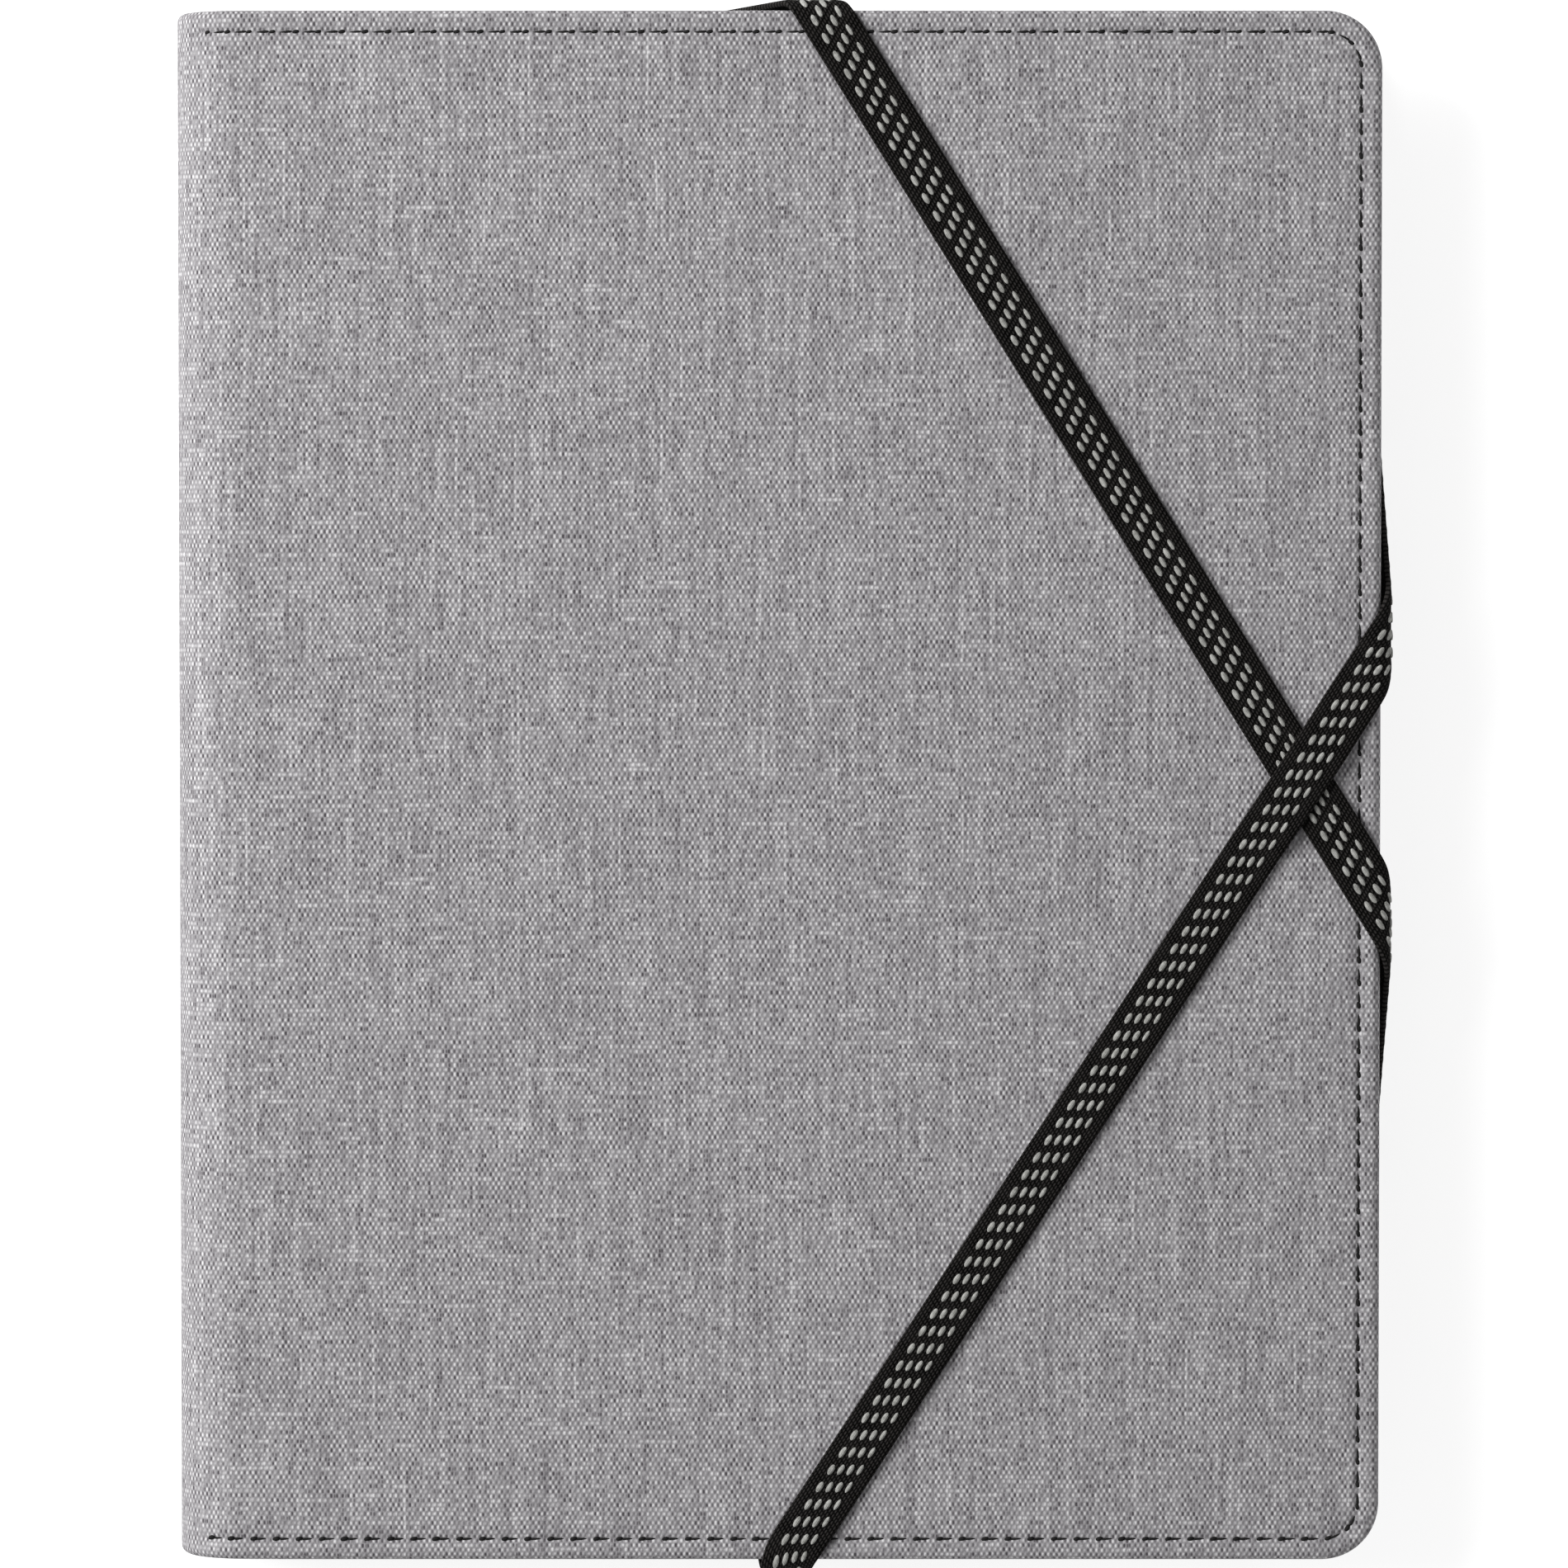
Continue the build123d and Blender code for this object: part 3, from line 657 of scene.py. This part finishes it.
def foam_sheet(name, material, back):
    """The thin foam under the cloth, cut short of the shoulder above the bend."""
    x0, x1, y1 = BEND_X + 2 * MM, FORE_X - HEM_W, HALF_Y - HEM_W
    outline = rounded_rectangle((x0, -y1), (x1, y1), 0.0, 3 * MM)
    layers = [(0.3 * MM, -1.15 * MM), (0.0, -1.0 * MM), (0.0, -0.8 * MM), (0.3 * MM, -0.65 * MM)]
    points, faces = [], []
    for inset, height in layers:
        for x, y in outline:
            px, py = x - math.copysign(inset, x), y - math.copysign(inset, y)
            points.append((px, py, -height if back else TOP_Z + height))
    count = len(outline)
    faces = grid_faces(len(layers), count, closed=True)
    faces.append(tuple(range(count))[::-1])
    faces.append(tuple((len(layers) - 1) * count + k for k in range(count)))
    if back:
        faces = [face[::-1] for face in faces]
    return make_object(name, points, faces, plan_uvs(points), material, smooth=False)


def seam_threads(name, material, back):
    """The visible threads of the seam: short bold loops at the needle holes, thin black runs between,
    partly thread and partly painted shade of the groove.
    """
    points, faces, uvs = [], [], []
    count = round(Seam.length / SEAM_PITCH)
    pitch = Seam.length / count
    ring, steps = 8, 7

    def strand(centre, half, radius, lift, slant, inner, taper=0.0):
        start = len(points)
        for step in range(steps):
            t = -1 + 2 * step / (steps - 1)
            s, y, along, out = Seam.at(min(max(centre + t * half, 0), Seam.length - 1e-6))
            side = slant * t * half
            round_off = math.sqrt(max(0.04, 1 - abs(t) ** 2.6)) * (1 + taper * t)
            arch = lift - 0.5 * radius * t * t
            for k in range(ring):
                turn = TAU * k / ring
                off = side + radius * round_off * math.cos(turn)
                rise = arch + 0.75 * radius * round_off * math.sin(turn)
                height = -COVER_T - rise if inner else rise
                points.append((s + out[0] * off, y + out[1] * off, height))
                uvs.append((centre + t * half, off))
        for a, b, c, d in grid_faces(steps, ring, closed=True):
            quad = (start + a, start + b, start + c, start + d)
            faces.append(quad if inner else quad[::-1])
        first = tuple(start + k for k in range(ring))
        last = tuple(start + (steps - 1) * ring + k for k in range(ring))
        faces.append(first[::-1] if inner else first)
        faces.append(last if inner else last[::-1])

    for k in range(count):
        unlike = noise.noise(Vector((k * 2.3, 7.7, 1.0)))
        centre = (k + 0.5) * pitch + 0.2 * MM * unlike
        strand(centre, (0.72 + 0.14 * unlike) * MM, (0.38 + 0.08 * unlike) * MM, -0.28 * MM, 0.18, False)
        # The thin black run between the holes is partly thread and partly painted shade that darkens the
        # groove.
        strand(centre + pitch * 0.61, 1.25 * MM, (0.18 - 0.05 * unlike) * MM, -0.33 * MM, 0.05, False, 0.6)
        strand(centre, 1.5 * MM, 0.24 * MM, -0.12 * MM, 0.08, True)
    s, y, height = np.array(points).T
    placed = place_on_case(s, y, height, back)
    if back:
        faces = [face[::-1] for face in faces]
    return make_object(name, placed, faces, np.array(uvs) * UV_PER_METRE, material)


# ---- Elastic bands --------------------------------------------------------------------
class EdgeWrap:
    """A band's way over an edge of the case, down its side and into the back cover's hem."""

    centre = EDGE_R                                 # the turn's centre, in from the edge
    neutral = EDGE_R + BAND_SIDE_GAP + BAND_T / 2
    centre_z = TOP_Z + BAND_LIFT + BAND_T / 2 - neutral
    over = neutral * math.pi / 2
    low_r = 0.9 * MM
    low_z = 2.2 * MM
    drop = centre_z - low_z
    under = low_r * math.pi / 2
    tuck = 4 * MM
    reach = over + drop + under + tuck

    @classmethod
    def at(cls, t, height):
        """(distance out from the turn's centre, z) at developed distance t past it."""
        offset = height - BAND_T / 2
        first = np.clip(t / cls.neutral, 0, math.pi / 2)
        fall = np.clip(t - cls.over, 0, cls.drop)
        second = np.clip((t - cls.over - cls.drop) / cls.low_r, 0, math.pi / 2)
        tucked = np.clip(t - cls.over - cls.drop - cls.under, 0, None)
        turn = first + second
        out = np.minimum(t, 0) + cls.neutral * np.sin(first) - cls.low_r * (1 - np.cos(second)) - tucked
        out = out - (BAND_SIDE_GAP - 0.1 * MM) * fall / cls.drop
        z = cls.centre_z + cls.neutral * np.cos(first) - fall - cls.low_r * np.sin(second)
        return out + offset * np.sin(turn), z + offset * np.cos(turn)


def wrap_band(px, py, height, lift):
    """Points at unfolded place (px, py): flat over the front cover, wrapped over its edges."""
    past_x = px - (FORE_X - EdgeWrap.centre)
    past_y = np.abs(py) - (HALF_Y - EdgeWrap.centre)
    out_x, z_x = EdgeWrap.at(past_x, height)
    out_y, z_y = EdgeWrap.at(past_y, height)
    x = np.where(past_x > 0, FORE_X - EdgeWrap.centre + out_x, px)
    y = np.where(past_y > 0, np.sign(py) * (HALF_Y - EdgeWrap.centre + out_y), py)
    z = np.where(past_x > 0, z_x, z_y)
    return np.stack([x, y, z + lift], axis=-1)


class Band:
    """One elastic band as a strip in the unfolded plane of the case's front and sides."""

    def __init__(self, long_point, fore_point, turn_down, over_at=None):
        """long_point and fore_point are where the centre line crosses the two edges.

        turn_down is how far the heading turns where the band goes over the long edge.
        """
        start, end = Vector(long_point), Vector(fore_point)
        self.span = (end - start).length
        heading = math.atan2(end.y - start.y, end.x - start.x)
        far = self.span + EdgeWrap.reach / abs(math.cos(heading)) - EdgeWrap.centre
        near = -EdgeWrap.reach / (1.0 if turn_down else abs(math.sin(heading)))
        self.u = np.arange(near, far, BAND_STEP)
        turned = turn_down * (1 - smooth_step((self.u + 4 * MM) / (8 * MM)))
        headings = heading + turned
        steps = np.stack([np.cos(headings), np.sin(headings)], axis=1) * BAND_STEP
        line = np.concatenate([[[0, 0]], np.cumsum(steps[:-1], axis=0)])
        anchor = np.array([np.interp(0.0, self.u, line[:, k]) for k in range(2)])
        self.line = line - anchor + np.array(start)
        self.heading = headings
        self.over_at = over_at

    def place(self, u, v, height):
        """Points at u along the centre line, v to its right in plan, and a height off the case."""
        x = np.interp(u, self.u, self.line[:, 0])
        y = np.interp(u, self.u, self.line[:, 1])
        heading = np.interp(u, self.u, self.heading)
        side = 1.0 if self.line[0, 1] > 0 else -1.0
        x = x - side * np.sin(heading) * v
        y = y + side * np.cos(heading) * v
        lift = 0.0
        if self.over_at is not None:
            away = np.abs(u - self.over_at)
            lift = (BAND_T + 0.1 * MM) * (1 - smooth_step((away - 6.2 * MM) / (9 * MM)))
        return wrap_band(x, y, height, lift)

    def strip(self, name, material):
        """The webbing: a closed strip with a soft rib down each selvedge."""
        half, thick = BAND_W / 2, BAND_T
        section = [(-half + 0.35 * MM, 0.0)]
        section += [(-half + 0.05 * MM, 0.3 * MM), (-half, 0.62 * MM), (-half + 0.16 * MM, 0.98 * MM)]
        for v in np.linspace(-half + 0.5 * MM, half - 0.5 * MM, 27):
            near_edge = half - abs(v)
            rib = 0.07 * MM * math.cos(TAU * near_edge / (1.3 * MM)) if near_edge < 1.7 * MM else -0.03 * MM
            section.append((v, thick - 0.05 * MM + rib))
        section += [(half - 0.16 * MM, 0.98 * MM), (half, 0.62 * MM), (half - 0.05 * MM, 0.3 * MM)]
        section.append((half - 0.35 * MM, 0.0))
        section += [(v, 0.0) for v in np.linspace(half - 1.5 * MM, -half + 1.5 * MM, 5)]
        v, height = np.array(section).T
        count = len(section)
        u_grid = np.repeat(self.u, count)
        v_grid = np.tile(v, len(self.u))
        points = self.place(u_grid, v_grid, np.tile(height, len(self.u)))
        faces = grid_faces(len(self.u), count, closed=True)
        last = (len(self.u) - 1) * count
        faces.append(tuple(range(count))[::-1])
        faces.append(tuple(last + k for k in range(count)))
        return make_object(name, points, faces, np.stack([v_grid, u_grid], axis=1) * UV_PER_METRE, material)

    def dashes(self, name, material, down, phase):
        """The woven-in light floats: four columns, each a quarter pitch behind its neighbour.

        down is 1 where u runs down the picture, as the pattern's shift is told that way. phase
        is where the first column starts, in pitches.
        """
        outline_u = np.sin(np.linspace(-math.pi / 2, math.pi / 2, 11))
        outline_v = np.linspace(-1, 1, 7)
        points, faces, uvs = [], [], []
        for column in range(4):
            v0 = (column - 1.5) * DASH_COLUMN
            first = math.ceil((self.u[0] + 2 * MM) / DASH_PITCH)
            last = math.floor((self.u[-1] - 2 * MM) / DASH_PITCH)
            for k in range(first, last):
                u0 = (k + phase - 0.25 * column * down) * DASH_PITCH
                jitter = 0.06 * noise.noise(Vector((k * 1.7, column * 3.1, self.span * 100)))
                half_l = DASH_HALF_L * (1 + jitter)
                half_w = DASH_HALF_W * DASH_SPREAD[column] * (1 - jitter)
                start = len(uvs)
                for a in outline_u:
                    width = math.sqrt(max(0.0, 1 - abs(a) ** 2.5))
                    for b in outline_v:
                        dome = max(0.0, 1 - abs(b) ** 4) * (0.5 + 0.5 * width)
                        u, v = u0 + a * half_l, v0 + b * half_w * max(width, 0.12)
                        points.append((u, v, BAND_T - 0.07 * MM + DASH_H * dome))
                        uvs.append((v, u))
                quads = grid_faces(len(outline_u), len(outline_v))
                faces += [tuple(start + i for i in quad) for quad in quads]
        u, v, height = np.array(points).T
        return make_object(name, self.place(u, v, height), faces, np.array(uvs) * UV_PER_METRE, material)


def joined(name, pieces):
    """Several meshes as one, keeping their materials."""
    with bpy.context.temp_override(
        active_object=pieces[0], object=pieces[0],
        selected_objects=pieces, selected_editable_objects=pieces,
    ):
        bpy.ops.object.join()
    pieces[0].name = name
    return pieces[0]


# ---- Keys -----------------------------------------------------------------------------
LEGENDS = {
    "function_keys": ["esc"] + [f"F{k}" for k in range(1, 13)] + ["del"],
    "number_keys": list("1234567890-="),
    "backspace_key": ["backspace"],
    "tab_key": ["tab"],
    "top_letter_keys": list("QWERTYUIOP[]") + [chr(92)],
    "caps_lock_key": ["caps"],
    "home_letter_keys": list("ASDFGHJKL;'"),
    "enter_key": ["enter"],
    "left_shift_key": ["shift"],
    "bottom_letter_keys": list("ZXCVBNM,./"),
    "right_shift_key": ["shift"],
    "modifier_keys": ["fn", "ctrl", "alt", "cmd", "cmd", "alt"],
    "space_bar": [""],
    "arrow_keys": ["up", "left", "down", "right"],
}
ARROW_TURNS = {"up": 0, "left": 90, "down": 180, "right": 270}
CAP_CORNER_R = 1.4 * MM
CAP_RINGS = [                   # inset and drop from the top, from the foot's edge to the dish
    (0.0, 3.0), (0.0, 2.74), (0.08, 2.62), (0.62, 2.6), (0.72, 2.5), (0.86, 0.5),
    (0.92, 0.26), (1.04, 0.1), (1.22, 0.02), (1.45, 0.0), (2.2, 0.03), (3.1, 0.07),
]


def loose_boxes(node):
    """The box of each separate solid in a CAD node, by X and then Y."""
    shape = bmesh.new()
    shape.from_mesh(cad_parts[node].data)
    bmesh.ops.remove_doubles(shape, verts=shape.verts, dist=1e-6)
    seen, boxes = set(), []
    for first in shape.verts:
        if first in seen:
            continue
        seen.add(first)
        island = [first]
        for vertex in island:
            for edge in vertex.link_edges:
                other = edge.other_vert(vertex)
                if other not in seen:
                    seen.add(other)
                    island.append(other)
        places = np.array([vertex.co for vertex in island])
        boxes.append((places.min(0), places.max(0)))
    shape.free()
    return sorted(boxes, key=lambda b: (round(b[0][0], 3), b[0][1]))


def rounded_rectangle(low, high, inset, radius, steps=5):
    """The outline of a rectangle with round corners, anticlockwise."""
    x0, y0, x1, y1 = low[0] + inset, low[1] + inset, high[0] - inset, high[1] - inset
    r = max(radius - inset * 0.5, 0.3 * MM)
    corners = ((x1 - r, y0 + r, -90), (x1 - r, y1 - r, 0), (x0 + r, y1 - r, 90), (x0 + r, y0 + r, 180))
    outline = []
    for x, y, start in corners:
        for step in range(steps + 1):
            turn = math.radians(start + 90 * step / steps)
            outline.append((x + r * math.cos(turn), y + r * math.sin(turn)))
    return outline


def key_caps(node, material):
    """The caps of one node: a foot, slightly drawn-in sides, a rounded rim and a shallow dish."""
    points, faces = [], []
    for low, high in loose_boxes(node):
        start = len(points)
        width = min(high[0] - low[0], high[1] - low[1])
        for inset, drop in CAP_RINGS:
            inset = min(inset * MM, 0.36 * width)
            outline = rounded_rectangle(low, high, inset, CAP_CORNER_R)
            points += [(x, y, high[2] - drop * MM) for x, y in outline]
        count = (len(points) - start) // len(CAP_RINGS)
        faces += [tuple(start + k for k in quad) for quad in grid_faces(len(CAP_RINGS), count, closed=True)]
        faces.append(tuple(start + k for k in range(count))[::-1])
        last = start + (len(CAP_RINGS) - 1) * count
        faces.append(tuple(last + k for k in range(count)))
    return make_object(node + "_caps", points, faces, plan_uvs(points), material)


def key_legends(node, material):
    """Printed letters, words or arrows in the middle of each cap, read from the fore-edge."""
    made = []
    for (low, high), word in zip(loose_boxes(node), LEGENDS[node]):
        if not word:
            continue
        middle = ((low[0] + high[0]) / 2, (low[1] + high[1]) / 2, high[2] - 0.075 * MM)
        if word in ARROW_TURNS:
            mesh = bpy.data.meshes.new("arrow")
            triangle = [(x, y, z) for x, y in ((-1.1, 0), (0.7, 1.1), (0.7, -1.1)) for z in (0, 0.09)]
            mesh.from_pydata([Vector(p) * MM for p in triangle], [],
                             [(0, 2, 4), (1, 5, 3), (0, 1, 3, 2), (2, 3, 5, 4), (4, 5, 1, 0)])
            turn = math.radians(ARROW_TURNS[word])
        else:
            text = bpy.data.curves.new("legend", "FONT")
            text.body = word
            text.size = (4.4 if len(word) == 1 else 2.5) * MM
            text.align_x = "CENTER"
            text.align_y = "CENTER"
            text.extrude = 0.045 * MM
            text.resolution_u = 3
            holder = bpy.data.objects.new("legend", text)
            bpy.context.scene.collection.objects.link(holder)
            bpy.context.view_layer.update()
            mesh = bpy.data.meshes.new_from_object(holder)
            bpy.data.objects.remove(holder)
            middle = (*middle[:2], middle[2] + 0.045 * MM)
            turn = math.radians(90)
        mesh.transform(Matrix.Translation(middle) @ Matrix.Rotation(turn, 4, "Z"))
        mesh.materials.clear()
        mesh.materials.append(material)
        legend = bpy.data.objects.new("legend", mesh)
        bpy.context.scene.collection.objects.link(legend)
        made.append(legend)
    return made


# ---- Tablet straps --------------------------------------------------------------------
SEWN_ROWS = (1.4 * MM, 3.0 * MM)         # rows of stitches, in from a strap's ends


def tablet_strap(node, name, material, thread_material):
    """A flat elastic across one corner of the front cover's inside, sewn down at both ends."""
    low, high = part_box(node)
    middle = (low + high) / 2
    turn = math.radians(45 if middle.x * middle.y < 0 else -45)
    half_l, half_w, thick = 23 * MM, 6 * MM, (high.z - low.z) * 0.95
    along = np.linspace(-half_l, half_l, 93)
    points, faces, uvs = [], [], []
    across = np.linspace(-half_w + 0.3 * MM, half_w - 0.3 * MM, 33)
    section = [(-half_w, 0.5)]
    section += [(v, 1.0 + 0.05 * math.cos(TAU * v / (1.5 * MM))) for v in across]
    section += [(half_w, 0.5), (half_w - 0.3 * MM, 0.02), (0.0, 0.02), (-half_w + 0.3 * MM, 0.02)]
    for u in along:
        pinches = [math.exp(-(((abs(u) - half_l + row) / (0.5 * MM)) ** 2)) for row in SEWN_ROWS]
        swell = 0.62 + 0.38 * float(smooth_step((half_l - abs(u)) / (6 * MM)))
        rise = thick * swell * (1 - 0.3 * min(pinches[1] + pinches[0], 1.0))
        for v, height in section:
            points.append((u, v, -rise * height))
            uvs.append((v * UV_PER_METRE, u * UV_PER_METRE))
    count = len(section)
    faces += [quad[::-1] for quad in grid_faces(len(along), count, closed=True)]
    faces.append(tuple(range(count)))
    faces.append(tuple((len(along) - 1) * count + k for k in range(count))[::-1])
    strap = make_object(name, points, faces, uvs, material)
    points, faces, uvs = [], [], []
    for side in (-1, 1):
        for row in SEWN_ROWS:
            for k in range(8):
                start = len(points)
                centre_v = (k - 3.5) * 1.4 * MM
                for step in range(5):
                    t = -1 + step / 2
                    swell = math.sqrt(max(0.1, 1 - t * t))
                    for spin in range(6):
                        a = TAU * spin / 6
                        points.append((side * (half_l - row) + 0.16 * MM * swell * math.cos(a),
                                       centre_v + 0.5 * MM * t,
                                       -0.66 * thick - 0.14 * MM * swell * math.sin(a)))
                        uvs.append((0.0, 0.0))
                faces += [tuple(start + i for i in quad) for quad in grid_faces(5, 6, closed=True)]
    rows = make_object(name + "_rows", points, faces, uvs, thread_material)
    whole = joined(name, [strap, rows])
    whole.data.transform(Matrix.Translation((middle.x, middle.y, high.z)) @ Matrix.Rotation(turn, 4, "Z"))
    return whole


# ---- Stage ----------------------------------------------------------------------------
def stage():
    """A pale floor, one soft lamp from the upper left and a bright room."""
    reach = FLOOR_HALF
    corners = [(-reach, -reach, 0), (reach, -reach, 0), (reach, reach, 0), (-reach, reach, 0)]
    floor_mesh = bpy.data.meshes.new("floor")
    floor_mesh.from_pydata(corners, [], [(0, 1, 2, 3)])
    floor = bpy.data.objects.new("floor", floor_mesh)
    floor.location.z = -FLOOR_GAP
    bpy.context.scene.collection.objects.link(floor)
    pale = grained("floor_pale", (0.50, 0.50, 0.50), (0.52, 0.52, 0.52), 0.8,
                   grain=0.2, relief=0.0, specular=0.1)
    glow = pale.node_tree.nodes["Principled BSDF"].inputs
    glow["Emission Color"].default_value = (1, 1, 1, 1)
    glow["Emission Strength"].default_value = FLOOR_GLOW
    floor_mesh.materials.append(pale)

    world = bpy.data.worlds.new("studio")
    bpy.context.scene.world = world
    world.use_nodes = True
    room = world.node_tree.nodes["Background"].inputs
    room[0].default_value = (1.0, 1.0, 1.0, 1.0)
    room[1].default_value = ROOM_LIGHT

    light = bpy.data.lights.new("key", "AREA")
    light.size = LAMP_SIZE
    light.energy = LAMP_POWER
    lamp = bpy.data.objects.new("key", light)
    lamp.location = LAMP_PLACE
    lamp.rotation_euler = (-Vector(LAMP_PLACE)).to_track_quat("-Z", "Y").to_euler()
    bpy.context.scene.collection.objects.link(lamp)


def camera():
    """Straight down over the closed case, a little towards its far end."""
    data = bpy.data.cameras.new("camera")
    data.lens = LENS
    data.sensor_width = 36.0
    data.clip_start = 0.05
    eye = bpy.data.objects.new("camera", data)
    target, away = Vector(LOOK_AT), Vector(CAMERA_AWAY)
    backward = away.normalized()
    right = Vector((0, 1, 0)).cross(backward).normalized()
    axes = Matrix((right, backward.cross(right), backward)).transposed()
    eye.matrix_world = Matrix.Translation(target + away) @ axes.to_4x4()
    bpy.context.scene.collection.objects.link(eye)
    bpy.context.scene.camera = eye


# ---- Making everything ----------------------------------------------------------------
bpy.context.scene.view_settings.view_transform = "Standard"
stage()
camera()

weave = heather_weave()
lining = lining_cloth()
web = elastic_web()
yarn = dash_yarn()
foam_padding = grained("foam_padding", (0.70, 0.70, 0.69), (0.80, 0.80, 0.79), 0.95, grain=3.0, relief=0.2)
thread = grained("seam_thread", (0.004, 0.004, 0.004), (0.016, 0.015, 0.015), 0.75,
                 grain=6.0, relief=0.05, specular=0.2)

for back, side in ((False, "front"), (True, "back")):
    cloth = cover_cloth(f"{side}_cover_cloth", weave, back)
    threads = seam_threads(f"{side}_cover_seam", thread, back)
    inside = lining_sheet(f"{side}_cover_lining_cloth", lining, back)
    foam = foam_sheet(f"{side}_cover_foam_sheet", foam_padding, back)
    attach(foam, f"{side}_cover")
    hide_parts(f"{side}_cover_foam")
    for piece in (cloth, threads, inside):
        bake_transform(piece)
    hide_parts(f"{side}_cover_fabric")
    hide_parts(f"{side}_cover_lining")
    if not back:
        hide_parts("spine_fabric")
        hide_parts("spine_lining")

upper = Band(*UPPER_EDGES, 0.0)
lower = Band(*LOWER_EDGES, LOWER_TURN, over_at=LOWER_OVER_AT)
for band, name, down, phase in (
    (upper, "elastic_band_upper", 1, UPPER_PHASE),
    (lower, "elastic_band_lower", -1, LOWER_PHASE),
):
    strip = band.strip(name + "_web", web)
    dashes = band.dashes(name + "_dashes", yarn, down, phase)
    piece = joined(name + "_woven", [strip, dashes])
    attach(piece, "back_cover")
    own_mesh(piece)
    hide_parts(name)

key_plastic = grained("key_plastic", (0.014, 0.014, 0.015), (0.022, 0.022, 0.024), 0.52,
                      grain=5.0, relief=0.012, specular=0.4)
legend_ink = grained("legend_ink", (0.55, 0.55, 0.55), (0.66, 0.66, 0.66), 0.6, grain=4.0, relief=0.0)
for node in LEGENDS:
    caps = key_caps(node, key_plastic)
    piece = joined(node + "_moulded", [caps] + key_legends(node, legend_ink))
    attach(piece, node)
    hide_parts(node)

ribbed = ribbed_elastic()
for corner in ("spine_left", "spine_right", "fore_left", "fore_right"):
    piece = tablet_strap("tablet_strap_" + corner, "tablet_strap_" + corner + "_woven", ribbed, thread)
    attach(piece, "front_cover")
    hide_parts("tablet_strap_" + corner)

shell = grained("shell_plastic", (0.040, 0.040, 0.044), (0.058, 0.058, 0.063), 0.55,
                grain=2.5, relief=0.03, specular=0.4)
control = grained("control_plastic", (0.09, 0.09, 0.095), (0.12, 0.12, 0.125), 0.4, grain=3.0, relief=0.01)
FINISHES = [
    (shell, ["keyboard_bottom_shell", "key_frame", "rear_deck"]),
    (control, ["power_switch_slider", "pairing_button"]),
    (grained("grey_board", (0.38, 0.34, 0.29), (0.50, 0.45, 0.39), 0.9, grain=1.2, relief=0.05),
     ["front_cover_board", "back_cover_board", "spine_board"]),
    (grained("foam_tape", (0.12, 0.12, 0.12), (0.18, 0.18, 0.18), 0.9, grain=3.0, relief=0.1),
     ["keyboard_mounting_pads"]),
    (brushed("plate_steel", (0.48, 0.48, 0.49), (0.62, 0.62, 0.63), 0.35), ["key_support_plate"]),
    (grained("membrane_film", (0.52, 0.55, 0.53), (0.66, 0.68, 0.66), 0.2, grain=0.6, relief=0.01),
     ["membrane_circuit"]),
    (grained("dome_silicone", (0.62, 0.62, 0.60), (0.76, 0.76, 0.74), 0.6, grain=1.5, relief=0.03),
     ["rubber_dome_sheet"]),
    (grained("solder_mask", (0.02, 0.11, 0.05), (0.04, 0.17, 0.09), 0.3, grain=1.2, relief=0.03),
     ["controller_board"]),
    (grained("foil_pouch", (0.55, 0.55, 0.57), (0.68, 0.68, 0.70), 0.35,
             metallic=0.9, grain=0.4, relief=0.15),
     ["battery"]),
    (brushed("socket_metal", (0.52, 0.52, 0.52), (0.66, 0.66, 0.66), 0.25), ["charging_socket"]),
    (grained("light_pipe", (0.72, 0.74, 0.76), (0.86, 0.88, 0.90), 0.15, grain=1.0, relief=0.0),
     ["indicator_light_pipes"]),
    (grained("slot_rubber", (0.016, 0.016, 0.016), (0.028, 0.028, 0.028), 0.85, grain=4.0, relief=0.05),
     ["tablet_slot_liner"]),
    (brushed("screw_steel", (0.25, 0.25, 0.25), (0.40, 0.40, 0.40), 0.35), ["rear_deck_screws"]),
]
for finish, nodes in FINISHES:
    for node in nodes:
        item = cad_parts[node]
        item.data.materials.clear()
        item.data.materials.append(finish)
for node, width in (
    ("keyboard_bottom_shell", 0.35), ("rear_deck", 0.35), ("key_frame", 0.15), ("tablet_slot_liner", 0.15),
    ("power_switch_slider", 0.3), ("pairing_button", 0.25),
):
    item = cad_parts[node]
    weld = item.modifiers.new("weld", "WELD")
    weld.merge_threshold = 1e-6
    bevel = item.modifiers.new("bevel", "BEVEL")
    bevel.width = width * MM
    bevel.segments = 2
    bevel.limit_method = "ANGLE"
    bevel.angle_limit = math.radians(40)
